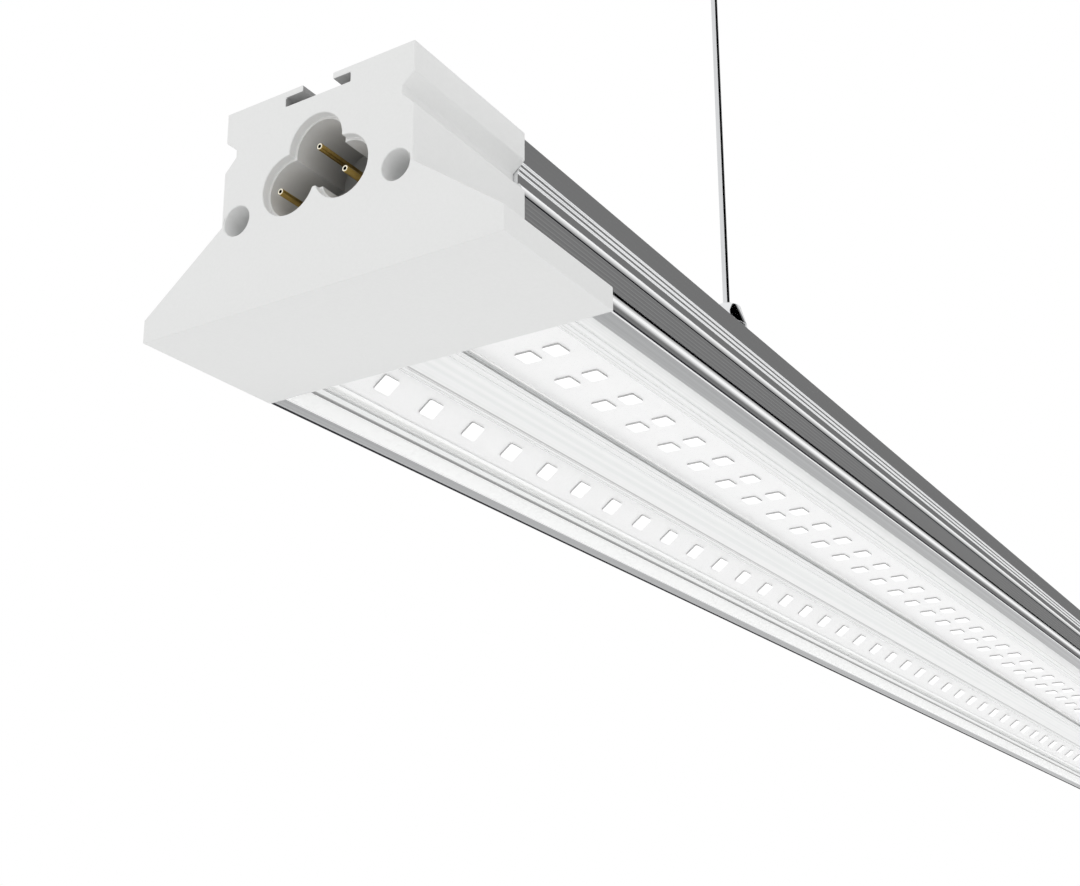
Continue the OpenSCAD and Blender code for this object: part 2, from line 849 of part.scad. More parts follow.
module earth_tag() {
    color("khaki")
        translate([earth_x, earth_y, web_z + web_t - drop])
            difference() {
                union() {
                    cylinder(r = earth_head_r, h = earth_tag_t);
                    translate([-earth_tag_l, -earth_head_r / 2, 0])
                        cube([earth_tag_l, earth_head_r, earth_tag_t]);
                }
                translate([0, 0, -over]) cylinder(r = earth_screw_r + fit_gap, h = earth_tag_t + 2 * over);
            }
}

module earth_screw() {
    color("gray")
        translate([earth_x, earth_y, web_z - drop]) {
            cylinder(r = earth_screw_r, h = web_t + earth_tag_t + earth_head_h);
            translate([0, 0, web_t + earth_tag_t]) cylinder(r = earth_head_r, h = earth_head_h);
        }
}

// Driver, in a frame with its origin at the near end of the tray's underside

tray_l = driver_l + 2 * tray_t + 2 * fit_gap;
tray_w = driver_w + 2 * tray_t + 2 * fit_gap;
board_top = tray_t + standoff + driver_t;
part_h = lead_z - 5 * lead_r - web_z - web_t - board_top;

module in_driver() {
    translate([driver_x - half_l, 0, web_z + web_t - drop]) children();
}

module driver_tray() {
    color("ivory")
        in_driver() {
            difference() {
                translate([-tray_t - fit_gap, -tray_w / 2, 0]) cube([tray_l, tray_w, tray_h]);
                translate([-fit_gap, -tray_w / 2 + tray_t, tray_t])
                    cube([tray_l - 2 * tray_t, tray_w - 2 * tray_t, tray_h]);
            }
            for (share = post_shares, side = [-1, 1])
                translate([driver_l * share, side * (driver_w / 2 - standoff), tray_t / 2])
                    translate([-standoff, -standoff, 0])
                        cube([2 * standoff, 2 * standoff, standoff + tray_t / 2]);
        }
}
post_shares = [0.02, 0.34, 0.66, 0.98];

module driver_board() {
    color("seagreen")
        in_driver() translate([0, -driver_w / 2, tray_t + standoff]) cube([driver_l, driver_w, driver_t]);
}

// Puts a piece on the board, at a share of its length and a distance across it
module on_board(share, y) {
    in_driver() translate([driver_l * share, y, board_top]) children();
}

module block(l, w, h) {
    translate([-l / 2, -w / 2, 0]) cube([l, w, h]);
}

core_l = driver_w * 0.8;
core_w = driver_w * 0.7;
core_leg = part_h * 0.4;
transformer_share = 0.56;

module driver_transformer() {
    color("darkgoldenrod")
        on_board(transformer_share, 0) {
            difference() {
                block(core_l, core_w, part_h);
                translate([0, 0, core_leg / 2])
                    block(core_l - 2 * core_leg, core_w + 2 * over, part_h - core_leg);
            }
            translate([0, 0, core_leg / 2])
                cylinder(r = core_l / 2 - core_leg - run_gap, h = part_h - core_leg);
        }
}

// Lying capacitors: share of the board's length, and length as a share of its width
capacitor_shares = [[0.30, 0.87], [0.42, 0.87], [0.76, 0.67], [0.84, 0.67]];

module driver_capacitors() {
    color("midnightblue")
        for (c = capacitor_shares)
            on_board(c[0], 0) translate([0, -c[1] * driver_w / 2, part_h / 2]) rotate([-90, 0, 0])
                cylinder(r = part_h / 2, h = c[1] * driver_w);
}

choke_shares = [0.16, 0.22, 0.69];

module driver_chokes() {
    color("peru")
        for (share = choke_shares)
            on_board(share, 0)
                difference() {
                    cylinder(r = part_h / 2, h = part_h);
                    translate([0, 0, -over]) cylinder(r = part_h / 6, h = part_h + 2 * over);
                }
}

// Small power parts: share of the board's length, distance across it as a share of its
// width, and their length, width and height as shares of the height that is free
power_shares = [
    [0.10, 0, 0.6, 1.0, 0.9], [0.26, 0.25, 0.5, 0.3, 0.6], [0.48, -0.25, 0.9, 0.35, 1.0],
    [0.64, 0.25, 0.9, 0.35, 0.9], [0.90, 0, 0.8, 0.7, 0.5]
];

module driver_power_parts() {
    color("dimgray")
        for (p = power_shares)
            on_board(p[0], p[1] * driver_w) block(p[2] * part_h, p[3] * part_h, p[4] * part_h);
}

terminal_share = 0.025;

module driver_terminals() {
    color("green")
        for (share = [terminal_share, 1 - terminal_share])
            on_board(share, 0) block(part_h, driver_w / 2, part_h);
}

// Leads from the through wiring to the driver, and from the driver to the boards

terminal_z = web_z + web_t + board_top + part_h / 2;
feed_x = driver_x + driver_l * terminal_share - part_h / 2 - half_l;
out_x = driver_x + driver_l * (1 - terminal_share) + part_h / 2 - half_l;

// Points of a lead from the driver's input to beside the pin at y
function feed_points(side, y) = [
    [feed_x, side * lead_y, terminal_z],
    [feed_x - 4 * lead_r, side * lead_y, terminal_z],
    [cap_l + bend - half_l, side * lead_y, terminal_z],
    [cap_l - cap_t - half_l, side * lead_y, terminal_z - 2 * lead_r],
    [-tail_x + 4 * lead_r, y, lobe_low_z],
    [-tail_x, y, lobe_low_z]
];

module driver_leads() {
    color("black") {
        tube(feed_points(1, pins[0][0] - beside), lead_r);
        tube(feed_points(-1, pins[1][0] + beside), lead_r);
    }
}

// Points of a lead from the driver's output, past low, to the end of a board
turn_x = half_l - cap_l + cap_t + 8 * thin_lead_r;
function led_points(y, low, end) = [
    [out_x, y, terminal_z],
    [half_l - 2 * cap_l, y, terminal_z],
    [turn_x - 2 * thin_lead_r, y, terminal_z],
    [turn_x, y, terminal_z - 4 * thin_lead_r],
    [turn_x, low[0], low[1]],
    [turn_x - 2 * thin_lead_r, end[0], end[1]],
    [half_l - cap_l, end[0], end[1]]
];

module led_leads() {
    color("white") {
        tube(led_points(0, [0, board_end_z + 4 * thin_lead_r], [0, board_end_z]), thin_lead_r);
        for (side = [-1, 1])
            let (end = [side * wing_end[0], wing_end[1]])
                tube(led_points(side * lead_y, [end[0] / 2, end[1]], end), thin_lead_r);
    }
}

// Hangers, in a frame with its origin on the housing's top at the wire

bolt_head_t = house_z - house_lip_t - slot_z - 2 * run_gap;
chamber_r = spigot_r - step_t;
chamber_z = stud_h + stud_gap + floor_t;
spigot_z = barrel_h - spigot_l;
sleeve_low_z = spigot_z + 2.6 * ball_r;
ball_z = sleeve_low_z + 1.3 * ball_r;
ball_mid_r = wire_r + ball_r + 2 * run_gap;
taper_top_r = sleeve_r + 5 * run_gap;
taper_low_r = spigot_r - 0.85 * ball_r;
taper_top_z = barrel_h + nose_h * 0.4;
wire_low_z = chamber_z + ball_r;

module at_hanger(side) {
    translate([side * hang_pitch / 2, 0, house_z - drop]) children();
}

module slot_bolt(side) {
    color("silver")
        at_hanger(side) {
            translate([-bolt_head_l / 2, -bolt_head_w / 2, slot_z - house_z + run_gap])
                cube([bolt_head_l, bolt_head_w, bolt_head_t]);
            translate([0, 0, slot_z - house_z + run_gap + bolt_head_t / 2])
                cylinder(r = stud_r, h = house_z - slot_z + stud_h - bolt_head_t / 2);
        }
}

module gripper_barrel(side) {
    color("lightsteelblue")
        at_hanger(side) translate([0, 0, run_gap])
            difference() {
                cylinder(r = barrel_r, h = barrel_h);
                translate([0, 0, -over]) cylinder(r = stud_r + run_gap, h = stud_h + stud_gap + over);
                translate([0, 0, chamber_z]) cylinder(r = chamber_r, h = barrel_h);
                translate([0, 0, spigot_z]) cylinder(r = spigot_r + run_gap, h = barrel_h);
            }
}

module gripper_nose(side) {
    color("lightsteelblue")
        at_hanger(side) translate([0, 0, run_gap])
            rotate_extrude()
                polygon([
                    [taper_low_r, spigot_z + run_gap],
                    [spigot_r, spigot_z + run_gap],
                    [spigot_r, barrel_h],
                    [barrel_r, barrel_h],
                    [nose_r, barrel_h + nose_h],
                    [sleeve_r + run_gap, barrel_h + nose_h],
                    [sleeve_r + run_gap, taper_top_z],
                    [taper_top_r, taper_top_z]
                ]);
}

module release_sleeve(side) {
    color("gainsboro")
        at_hanger(side) translate([0, 0, run_gap])
            difference() {
                translate([0, 0, sleeve_low_z])
                    cylinder(r = sleeve_r, h = barrel_h + nose_h + press_d - sleeve_low_z);
                cylinder(r = wire_r + fit_gap, h = barrel_h + nose_h + 2 * over);
                for (k = [0:ball_n - 1])
                    rotate(k * 360 / ball_n) translate([0, 0, ball_z]) rotate([0, 90, 0])
                        cylinder(r = ball_r + run_gap, h = sleeve_r + over);
            }
}

module gripper_balls(side) {
    color("slategray")
        at_hanger(side)
            for (k = [0:ball_n - 1])
                rotate(k * 360 / ball_n) translate([ball_mid_r, 0, ball_z + run_gap]) sphere(ball_r);
}

spring_r = sleeve_r - spring_wire_r;
spring_steps = 10;
spring_sides = 6;
spring_low_z = chamber_z + spring_wire_r + 2 * run_gap;
spring_top_z = sleeve_low_z - spring_wire_r - 2 * run_gap;

function coil_point(a, z) = [spring_r * cos(a), spring_r * sin(a), z];

// Ring k of the spring's wire, square to the turn
function coil_ring(k, n) =
    let (a = k * 360 / spring_steps, z = spring_low_z + (spring_top_z - spring_low_z) * k / n)
    [for (s = [0:spring_sides - 1])
        let (w = s * 360 / spring_sides)
        coil_point(a, z) + spring_wire_r * [cos(w) * cos(a), cos(w) * sin(a), sin(w)]];

module gripper_spring(side) {
    n = spring_turns * spring_steps;
    rings = [for (k = [0:n]) each coil_ring(k, n)];
    faces = [
        for (k = [0:n - 1], s = [0:spring_sides - 1])
            let (a = k * spring_sides, next = (s + 1) % spring_sides)
            each [
                [a + s, a + spring_sides + s, a + spring_sides + next],
                [a + s, a + spring_sides + next, a + next]
            ]
    ];
    start = [for (s = [0:spring_sides - 1]) s];
    end = [for (s = [spring_sides - 1:-1:0]) n * spring_sides + s];
    color("gray") at_hanger(side) polyhedron(rings, concat(faces, [start, end]));
}

// Wires and ceiling fittings, with the pivot in the middle of the wire's ball

pivot_z = seat_h - cup_h - base_t;
mouth_r = seat_h * tan(sway) + wire_r / cos(sway) + 2 * run_gap;

module at_ceiling(side) {
    translate([side * hang_pitch / 2, 0, 0]) children();
}

module suspension_wire(side) {
    low_z = house_z - drop + wire_low_z;
    color("silver")
        at_ceiling(side) translate([0, 0, low_z]) cylinder(r = wire_r, h = pivot_z + ferrule_h - low_z);
}

module wire_stop(side) {
    color("darkgray")
        at_ceiling(side) translate([0, 0, pivot_z])
            difference() {
                union() {
                    sphere(stop_r);
                    cylinder(r = ferrule_r, h = ferrule_h);
                }
                translate([0, 0, -stop_r - over])
                    cylinder(r = wire_r + run_gap, h = stop_r + ferrule_h + 2 * over);
            }
}

module ceiling_cup(side) {
    color("lightsteelblue")
        at_ceiling(side) translate([0, 0, -cup_h - base_t])
            difference() {
                cylinder(r = cup_r, h = cup_h);
                translate([0, 0, cup_floor]) cylinder(r = cup_r - cup_t, h = cup_h);
                translate([0, 0, seat_h]) sphere(stop_r + run_gap);
                translate([0, 0, -over]) cylinder(r = mouth_r, h = seat_h + over);
            }
}

module ceiling_base(side) {
    color("lightsteelblue")
        at_ceiling(side)
            difference() {
                union() {
                    translate([0, 0, -base_t]) cylinder(r = cup_r, h = base_t);
                    translate([0, 0, -base_t - base_boss_h])
                        cylinder(r = cup_r - cup_t - run_gap, h = base_boss_h + base_t / 2);
                }
                translate([0, 0, -base_t - base_boss_h - over])
                    cylinder(r = base_hole_r, h = base_t + base_boss_h + 2 * over);
                translate([0, 0, -base_t - base_boss_h - over])
                    cylinder(r = base_sink_r, h = base_sink_d + over);
            }
}

housing();
light_cover();
led_board_centre();
led_board_wing(1);  // led_board_left
led_board_wing(-1);  // led_board_right
led_chips_centre();
led_chips_wing(1);  // led_chips_left
led_chips_wing(-1);  // led_chips_right
end_cap(near);  // end_cap_near
end_cap(far);  // end_cap_far
cap_screws();
inlet_socket(near);  // inlet_socket_near
inlet_socket(far);  // inlet_socket_far
inlet_pins(near);  // inlet_pins_near
inlet_pins(far);  // inlet_pins_far
live_lead();
neutral_lead();
earth_lead();
earth_tag();
earth_screw();
driver_leads();
led_leads();
driver_tray();
driver_board();
driver_transformer();
driver_capacitors();
driver_chokes();
driver_power_parts();
driver_terminals();
slot_bolt(near);  // slot_bolt_near
slot_bolt(far);  // slot_bolt_far
gripper_barrel(near);  // gripper_barrel_near
gripper_barrel(far);  // gripper_barrel_far
gripper_nose(near);  // gripper_nose_near
gripper_nose(far);  // gripper_nose_far
release_sleeve(near);  // release_sleeve_near
release_sleeve(far);  // release_sleeve_far
gripper_balls(near);  // gripper_balls_near
gripper_balls(far);  // gripper_balls_far
gripper_spring(near);  // gripper_spring_near
gripper_spring(far);  // gripper_spring_far
suspension_wire(near);  // suspension_wire_near
suspension_wire(far);  // suspension_wire_far
wire_stop(near);  // wire_stop_near
wire_stop(far);  // wire_stop_far
ceiling_cup(near);  // ceiling_cup_near
ceiling_cup(far);  // ceiling_cup_far
ceiling_base(near);  // ceiling_base_near
ceiling_base(far);  // ceiling_base_far
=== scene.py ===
import json
import math

import bmesh
import bpy
from mathutils import Matrix, Vector


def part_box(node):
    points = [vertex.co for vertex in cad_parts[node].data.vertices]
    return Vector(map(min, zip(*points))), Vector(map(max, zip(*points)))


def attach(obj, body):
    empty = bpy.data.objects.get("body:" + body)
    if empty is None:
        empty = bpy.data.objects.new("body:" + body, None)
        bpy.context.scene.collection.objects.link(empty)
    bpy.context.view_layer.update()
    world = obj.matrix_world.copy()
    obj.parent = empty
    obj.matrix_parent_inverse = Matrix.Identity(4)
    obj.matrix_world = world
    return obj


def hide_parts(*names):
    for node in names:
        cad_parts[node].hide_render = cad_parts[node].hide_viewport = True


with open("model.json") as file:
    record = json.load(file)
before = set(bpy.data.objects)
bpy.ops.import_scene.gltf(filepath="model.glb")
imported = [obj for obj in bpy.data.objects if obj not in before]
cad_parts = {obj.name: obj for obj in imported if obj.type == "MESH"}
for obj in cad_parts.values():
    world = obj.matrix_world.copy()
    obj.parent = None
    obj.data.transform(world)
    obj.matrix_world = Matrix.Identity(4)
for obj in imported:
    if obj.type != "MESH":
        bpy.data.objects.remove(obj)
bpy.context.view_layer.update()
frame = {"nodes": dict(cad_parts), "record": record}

# the pieces are drawn in millimetres, and the light's own heights are over its underside, which
# hangs by the drop under the ceiling
mm = 0.001
drop = 211.0
hangerX = 400.0
# points nearer than this become one
weld = 0.0005

print("stage: camera")

photo = {"width": 1080.0, "height": 886.0, "focal": 1553.445, "centreX": 493.738, "centreY": 558.616,
         "sensor": 36.0, "clip": (0.01, 60.0), "place": (-783.8, -172.84, -338.93),
         "turn": (106.3633, -0.2682, -56.5663)}


def addObject(name, data):
    obj = bpy.data.objects.new(name, data)
    bpy.context.scene.collection.objects.link(obj)
    return obj


def makeCamera():
    data = bpy.data.cameras.new("photoCamera")
    camera = addObject("photoCamera", data)
    data.sensor_fit = "HORIZONTAL"
    data.sensor_width = photo["sensor"]
    data.lens = photo["focal"] / photo["width"] * photo["sensor"]
    data.shift_x = (photo["width"] / 2 - photo["centreX"]) / photo["width"]
    data.shift_y = (photo["centreY"] - photo["height"] / 2) / photo["width"]
    data.clip_start, data.clip_end = photo["clip"]
    camera.location = Vector(photo["place"]) * mm
    camera.rotation_euler = [math.radians(a) for a in photo["turn"]]
    bpy.context.scene.camera = camera


makeCamera()

print("stage: materials")


def newMaterial(name):
    material = bpy.data.materials.new(name)
    material.use_nodes = True
    nodes = material.node_tree.nodes
    return material, nodes, material.node_tree.links, nodes["Principled BSDF"]


def objectParts(nodes, links):
    coordinates = nodes.new("ShaderNodeTexCoord")
    parts = nodes.new("ShaderNodeSeparateXYZ")
    links.new(coordinates.outputs["Object"], parts.inputs["Vector"])
    return parts.outputs


def fromMiddle(nodes, links, axis):
    distance = nodes.new("ShaderNodeMath")
    distance.operation = "ABSOLUTE"
    links.new(objectParts(nodes, links)[axis], distance.inputs[0])
    return distance.outputs[0]


def objectNoise(nodes, links, stretch, scale, detail=4.0):
    coordinates = nodes.new("ShaderNodeTexCoord")
    mapping = nodes.new("ShaderNodeMapping")
    mapping.inputs["Scale"].default_value = stretch
    noise = nodes.new("ShaderNodeTexNoise")
    noise.inputs["Scale"].default_value = scale
    noise.inputs["Detail"].default_value = detail
    links.new(coordinates.outputs["Object"], mapping.inputs["Vector"])
    links.new(mapping.outputs["Vector"], noise.inputs["Vector"])
    return noise.outputs["Fac"]


def mapRange(nodes, links, value, source, result):
    # source and result are (least, most)
    node = nodes.new("ShaderNodeMapRange")
    for name, ends in (("From", source), ("To", result)):
        node.inputs[name + " Min"].default_value = ends[0]
        node.inputs[name + " Max"].default_value = ends[1]
    links.new(value, node.inputs["Value"])
    return node.outputs["Result"]


def tones(nodes, links, value, stops):
    # stops are (place from 0 to 1, color) in order of place
    ramp = nodes.new("ShaderNodeValToRGB")
    elements = ramp.color_ramp.elements
    for element, (place, color) in ((elements[0], stops[0]), (elements[1], stops[-1])):
        element.position = place
        element.color = (*color, 1)
    for place, color in stops[1:-1]:
        elements.new(place).color = (*color, 1)
    links.new(value, ramp.inputs["Fac"])
    return ramp.outputs["Color"]


def multiplied(nodes, links, first, second):
    mix = nodes.new("ShaderNodeMix")
    mix.data_type = "RGBA"
    mix.blend_type = "MULTIPLY"
    mix.inputs["Factor"].default_value = 1.0
    links.new(first, mix.inputs["A"])
    links.new(second, mix.inputs["B"])
    return mix.outputs["Result"]


def addBump(nodes, links, shader, height, strength, distance):
    bump = nodes.new("ShaderNodeBump")
    bump.inputs["Strength"].default_value = strength
    bump.inputs["Distance"].default_value = distance
    links.new(height, bump.inputs["Height"])
    links.new(bump.outputs["Normal"], shader.inputs["Normal"])


grainLook = {"low": 0.3, "high": 0.7, "smoothest": 0.02, "height": 0.00003}


def surface(name, color, roughness, metallic=0.0, stretch=(1, 1, 1), scale=900.0, tint=0.04, rub=0.06,
            grain=0.04, coat=0.0, emission=None, specular=0.5, deep=None):
    # deep is (distance to the light's middle where the color starts to fade, where it ends, share left), a
    # painted shade that darkens the color deeper in from the ends of the light
    material, nodes, links, shader = newMaterial(name)
    noise = objectNoise(nodes, links, stretch, scale)
    shade = tones(nodes, links, noise, ((grainLook["low"], [c * (1 - tint) for c in color]),
                                        (grainLook["high"], [min(1.0, c * (1 + tint)) for c in color])))
    if deep:
        start, end, least = deep
        shadeFade = mapRange(nodes, links, fromMiddle(nodes, links, "X"), (end, start), (least, 1.0))
        shade = multiplied(nodes, links, shade, shadeFade)
    links.new(shade, shader.inputs["Base Color"])
    spread = (max(grainLook["smoothest"], roughness - rub), min(1.0, roughness + rub))
    links.new(mapRange(nodes, links, noise, (0.0, 1.0), spread), shader.inputs["Roughness"])
    addBump(nodes, links, shader, noise, grain, grainLook["height"])
    shader.inputs["Metallic"].default_value = metallic
    shader.inputs["Coat Weight"].default_value = coat
    shader.inputs["Specular IOR Level"].default_value = specular
    if emission:
        shader.inputs["Emission Color"].default_value = (*color, 1)
        shader.inputs["Emission Strength"].default_value = emission
    return material


# the lines darken the color as painted shade, by distance from the middle of the cover
coverBands = {"clear": 0.03, "milky": 0.97, "half": 43.0, "color": (0.97, 0.985, 0.98), "roughness": 0.15,
              "tint": ((0.35, 0.95), (0.65, 1.06)), "stretch": (0.002, 1, 0), "scale": 900.0, "detail": 3.0,
              "grain": 0.15, "grainHeight": 0.0002,
              "edges": ((0.0, "clear"), (12.6, "clear"), (12.9, "milky"), (25.6, "milky"), (26.2, "clear"),
                        (36.2, "clear"), (36.5, "milky"), (43.0, "milky")),
              "shadeLines": ((0.0, 1.0), (13.4, 1.0), (13.6, 0.75), (13.8, 1.0), (24.7, 1.0), (24.95, 0.4),
                        (25.2, 1.0), (37.3, 1.0), (37.55, 0.3), (38.1, 0.25), (38.2, 1.0), (43.0, 1.0))}


def coverLook():
    # clear over the boards, and milky between them, with fine lengthwise lines of painted shade where the
    # cover meets the hooks, bends and meets the wall
    b = coverBands
    material, nodes, links, shader = newMaterial("clearCover")
    across = mapRange(nodes, links, fromMiddle(nodes, links, "Y"), (0.0, b["half"] * mm), (0.0, 1.0))
    bands = [(y / b["half"], [b[kind]] * 3) for y, kind in b["edges"]]
    links.new(tones(nodes, links, across, bands), shader.inputs["Alpha"])
    noise = objectNoise(nodes, links, b["stretch"], b["scale"], b["detail"])
    tinted = tones(nodes, links, noise, [(place, [min(1.0, c * tint) for c in b["color"]])
                                         for place, tint in b["tint"]])
    shadeLined = tones(nodes, links, across, [(y / b["half"], [value] * 3) for y, value in b["shadeLines"]])
    links.new(multiplied(nodes, links, tinted, shadeLined), shader.inputs["Base Color"])
    addBump(nodes, links, shader, noise, b["grain"], b["grainHeight"])
    shader.inputs["Roughness"].default_value = b["roughness"]
    return material


drawnOut = (0.001, 1, 1)  # grain that runs along the light

looks = {
    "extrusion": surface("extrudedAluminium", (0.9, 0.905, 0.91), 0.07, metallic=1.0, stretch=drawnOut,
                         scale=2600.0, tint=0.02, rub=0.02, grain=0.03),
    # the flanges' underside is brushed, and its darker color is painted shade for a dimmer reflection
    "extrusion_shaded_foot": surface("brushedShadedFoot", (0.4, 0.405, 0.41), 0.3, metallic=1.0, stretch=drawnOut,
                              scale=2600.0, tint=0.16, rub=0.05, grain=0.1),
    # painted shade in the grooves, along the lip's top and on the flanges' edges
    "extrusion_shade_line": surface("paintedShadeLine", (0.035, 0.035, 0.04), 0.6, specular=0.0),
    "clear_cover": coverLook(),
    # the boards glow a little, as painted light against the cover's shade
    "white_board": surface("whiteSolderMaskGlow", (0.96, 0.96, 0.96), 0.4, tint=0.01, emission=0.06),
    # the faces beside the boards are painted white and glow, as painted light against the shade there
    "inner_white_glow": surface("glowingWhite", (0.95, 0.955, 0.95), 0.5, tint=0.01, emission=0.16),
    # the chips glow as painted light so that they read pure white
    "light_chip": surface("chipLensGlow", (0.97, 0.97, 0.97), 0.35, tint=0.01, emission=0.3),
    # the chips' walls are grey as painted shade
    "chip_wall_shade": surface("chipWallShade", (0.5, 0.5, 0.5), 0.5),
    "cap_plastic": surface("capPlastic", (0.79, 0.795, 0.79), 0.45, scale=1400.0, tint=0.01, grain=0.06),
    "cap_shade": surface("capSlotShade", (0.3, 0.3, 0.3), 0.5, scale=1400.0, tint=0.03),
    "screw_steel": surface("screwSteel", (0.42, 0.42, 0.44), 0.32, metallic=1.0),
    # the socket darkens deeper in, as painted shade
    "socket_plastic": surface("socketPlastic", (0.72, 0.72, 0.71), 0.4, scale=1400.0, tint=0.01,
                              deep=(0.581, 0.567, 0.3)),
    "pin_brass": surface("pinBrass", (0.55, 0.38, 0.11), 0.16, metallic=1.0, stretch=(0.05, 1, 1), tint=0.08),
    "pin_tip": surface("pinTip", (0.95, 0.9, 0.72), 0.35, metallic=0.3),
    "brown_lead": surface("brownSleeve", (0.19, 0.08, 0.03), 0.5),
    "blue_lead": surface("blueSleeve", (0.03, 0.11, 0.42), 0.5),
    "green_lead": surface("greenSleeve", (0.25, 0.42, 0.04), 0.5),
    "black_lead": surface("blackSleeve", (0.02, 0.02, 0.02), 0.5),
    "white_lead": surface("whiteSleeve", (0.8, 0.8, 0.8), 0.5),
    "tray_plastic": surface("trayPlastic", (0.8, 0.78, 0.7), 0.5),
    "green_board": surface("greenSolderMask", (0.02, 0.16, 0.06), 0.35, coat=0.4),
    "core_dark": surface("ferrite", (0.05, 0.05, 0.055), 0.55, tint=0.15),
    "capacitor_sleeve": surface("capacitorSleeve", (0.02, 0.025, 0.07), 0.3),
    "choke_copper": surface("enamelledCopper", (0.6, 0.25, 0.1), 0.3, metallic=1.0, stretch=(1, 1, 0.1),
                            scale=2500.0, tint=0.12),
    "terminal_plastic": surface("terminalPlastic", (0.04, 0.26, 0.1), 0.45),
    "bolt_steel": surface("zincPlate", (0.55, 0.56, 0.58), 0.25, metallic=1.0),
    "fitting_chrome": surface("chrome", (0.8, 0.81, 0.82), 0.07, metallic=1.0, tint=0.02, rub=0.02,
                              grain=0.01),
    "wire_steel": surface("brightWire", (0.66, 0.67, 0.68), 0.14, metallic=1.0, stretch=(1, 1, 0.02),
                          scale=3000.0, tint=0.05, rub=0.04, grain=0.05),
}

slotOfNode = {row["node"]: row["material_slot"] for row in frame["record"]["subparts"]}
for nodeName, nodeObject in frame["nodes"].items():
    for held in nodeObject.material_slots:
        held.material = looks[slotOfNode[nodeName]]

print("stage: wires")

wire = {"radius": 1.0, "points": 24, "roundness": 8}


def makeWire(side, body, name):
    node = "suspension_wire_" + side
    low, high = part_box(node)
    x = (low.x + high.x) / 2
    curve = bpy.data.curves.new(name, "CURVE")
    curve.dimensions = "3D"
    spline = curve.splines.new("POLY")
    spline.points.add(wire["points"] - 1)
    for i, point in enumerate(spline.points):
        point.co = (x, 0, low.z + (high.z - low.z) * i / (wire["points"] - 1), 1)
    curve.bevel_depth = wire["radius"] * mm
    curve.bevel_resolution = wire["roundness"]
    curve.use_fill_caps = True
    obj = addObject(name, curve)
    curve.materials.append(looks["wire_steel"])
    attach(obj, body)
    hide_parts(node)


makeWire("near", "near_hanger", "wireNear")
makeWire("far", "far_hanger", "wireFar")

print("stage: tools for the pieces")

# angles in degrees over which an edge is softened or drawn as a crease, the share of an edge's length
# that has to run along the light for it to count as lengthwise, and the steps of a turned piece's edges
edges = {"sharp": 30.0, "capSharp": 20.0, "crease": 40.0, "lengthwise": 0.9, "turnedSteps": 3}


def vertsOf(geom):
    return [g for g in geom if isinstance(g, bmesh.types.BMVert)]


def meshObject(bm, name):
    mesh = bpy.data.meshes.new(name)
    bm.to_mesh(mesh)
    bm.free()
    return addObject(name, mesh)


def drawPath(bm, x, path):
    # a path of (y, z) corners, and of arcs given as ("arc", (y, z) of the centre, degrees, steps)
    verts = []
    for step in path:
        if step[0] == "arc":
            bmesh.ops.spin(bm, geom=[verts[-1]], cent=(x, *step[1]), axis=(1, 0, 0),
                           angle=math.radians(step[2]), steps=step[3])
            for _ in range(step[3]):
                known = set(verts)
                verts.append(next(e.other_vert(verts[-1]) for e in verts[-1].link_edges
                                  if e.other_vert(verts[-1]) not in known))
        else:
            vert = bm.verts.new((x, *step))
            if verts:
                bm.edges.new((verts[-1], vert))
            verts.append(vert)
    return verts


def lowered(path):
    # from heights over the light's underside to heights in the frame
    return [("arc", (s[1][0], s[1][1] - drop), s[2], s[3]) if s[0] == "arc" else (s[0], s[1] - drop)
            for s in path]


def mirrorAcross(bm):
    bmesh.ops.mirror(bm, geom=bm.verts[:] + bm.edges[:] + bm.faces[:], axis="Y", merge_dist=weld)
    bmesh.ops.remove_doubles(bm, verts=bm.verts[:], dist=weld)


def turnRound(bm):
    bmesh.ops.rotate(bm, verts=bm.verts[:], cent=(0, 0, 0), matrix=Matrix.Rotation(math.pi, 3, "Z"))


def soften(bm, width, segments, least, lengthwise=False):
    bmesh.ops.recalc_face_normals(bm, faces=bm.faces[:])
    sharp = []
    for edge in bm.edges:
        if len(edge.link_faces) != 2 or edge.calc_face_angle(0.0) < math.radians(least):
            continue
        along = edge.verts[1].co - edge.verts[0].co
        if lengthwise and abs(along.x) < edges["lengthwise"] * along.length:
            continue
        sharp.append(edge)
    bmesh.ops.bevel(bm, geom=sharp, offset=width, offset_type="OFFSET", segments=segments, profile=0.5,
                    affect="EDGES", clamp_overlap=True, material=-1)


def longPiece(path, half, width, segments):
    # half of a closed section, mirrored and drawn out along the light
    bm = bmesh.new()
    verts = drawPath(bm, -half, lowered(path))
    bm.edges.new((verts[-1], verts[0]))
    bm.faces.new(verts)
    mirrorAcross(bm)
    grown = bmesh.ops.extrude_face_region(bm, geom=bm.faces[:])
    bmesh.ops.translate(bm, verts=vertsOf(grown["geom"]), vec=(2 * half, 0, 0))
    soften(bm, width, segments, edges["sharp"], lengthwise=True)
    return bm


def turnPiece(profile, centre, axis, steps, soft=0.0):
    # profile is a closed loop of (radius, distance along the axis), and its edges on the axis are left out
    bm = bmesh.new()
    upright = axis == "Z"
    verts = [bm.verts.new((r, 0, h) if upright else (h, r, 0)) for r, h in profile]
    rim = [bm.edges.new((verts[i - 1], verts[i])) for i in range(len(verts))
           if profile[i - 1][0] or profile[i][0]]
    bmesh.ops.spin(bm, geom=verts + rim, cent=(0, 0, 0), axis=(0, 0, 1) if upright else (1, 0, 0),
                   angle=math.tau, steps=steps, use_merge=True)
    bmesh.ops.remove_doubles(bm, verts=bm.verts[:], dist=weld)
    if soft:
        soften(bm, soft, edges["turnedSteps"], edges["sharp"])
    bmesh.ops.translate(bm, verts=bm.verts[:], vec=centre)
    return bm


def joinInto(bm, other):
    spare = bpy.data.meshes.new("spare")
    other.to_mesh(spare)
    other.free()
    bm.from_mesh(spare)
    bpy.data.meshes.remove(spare)


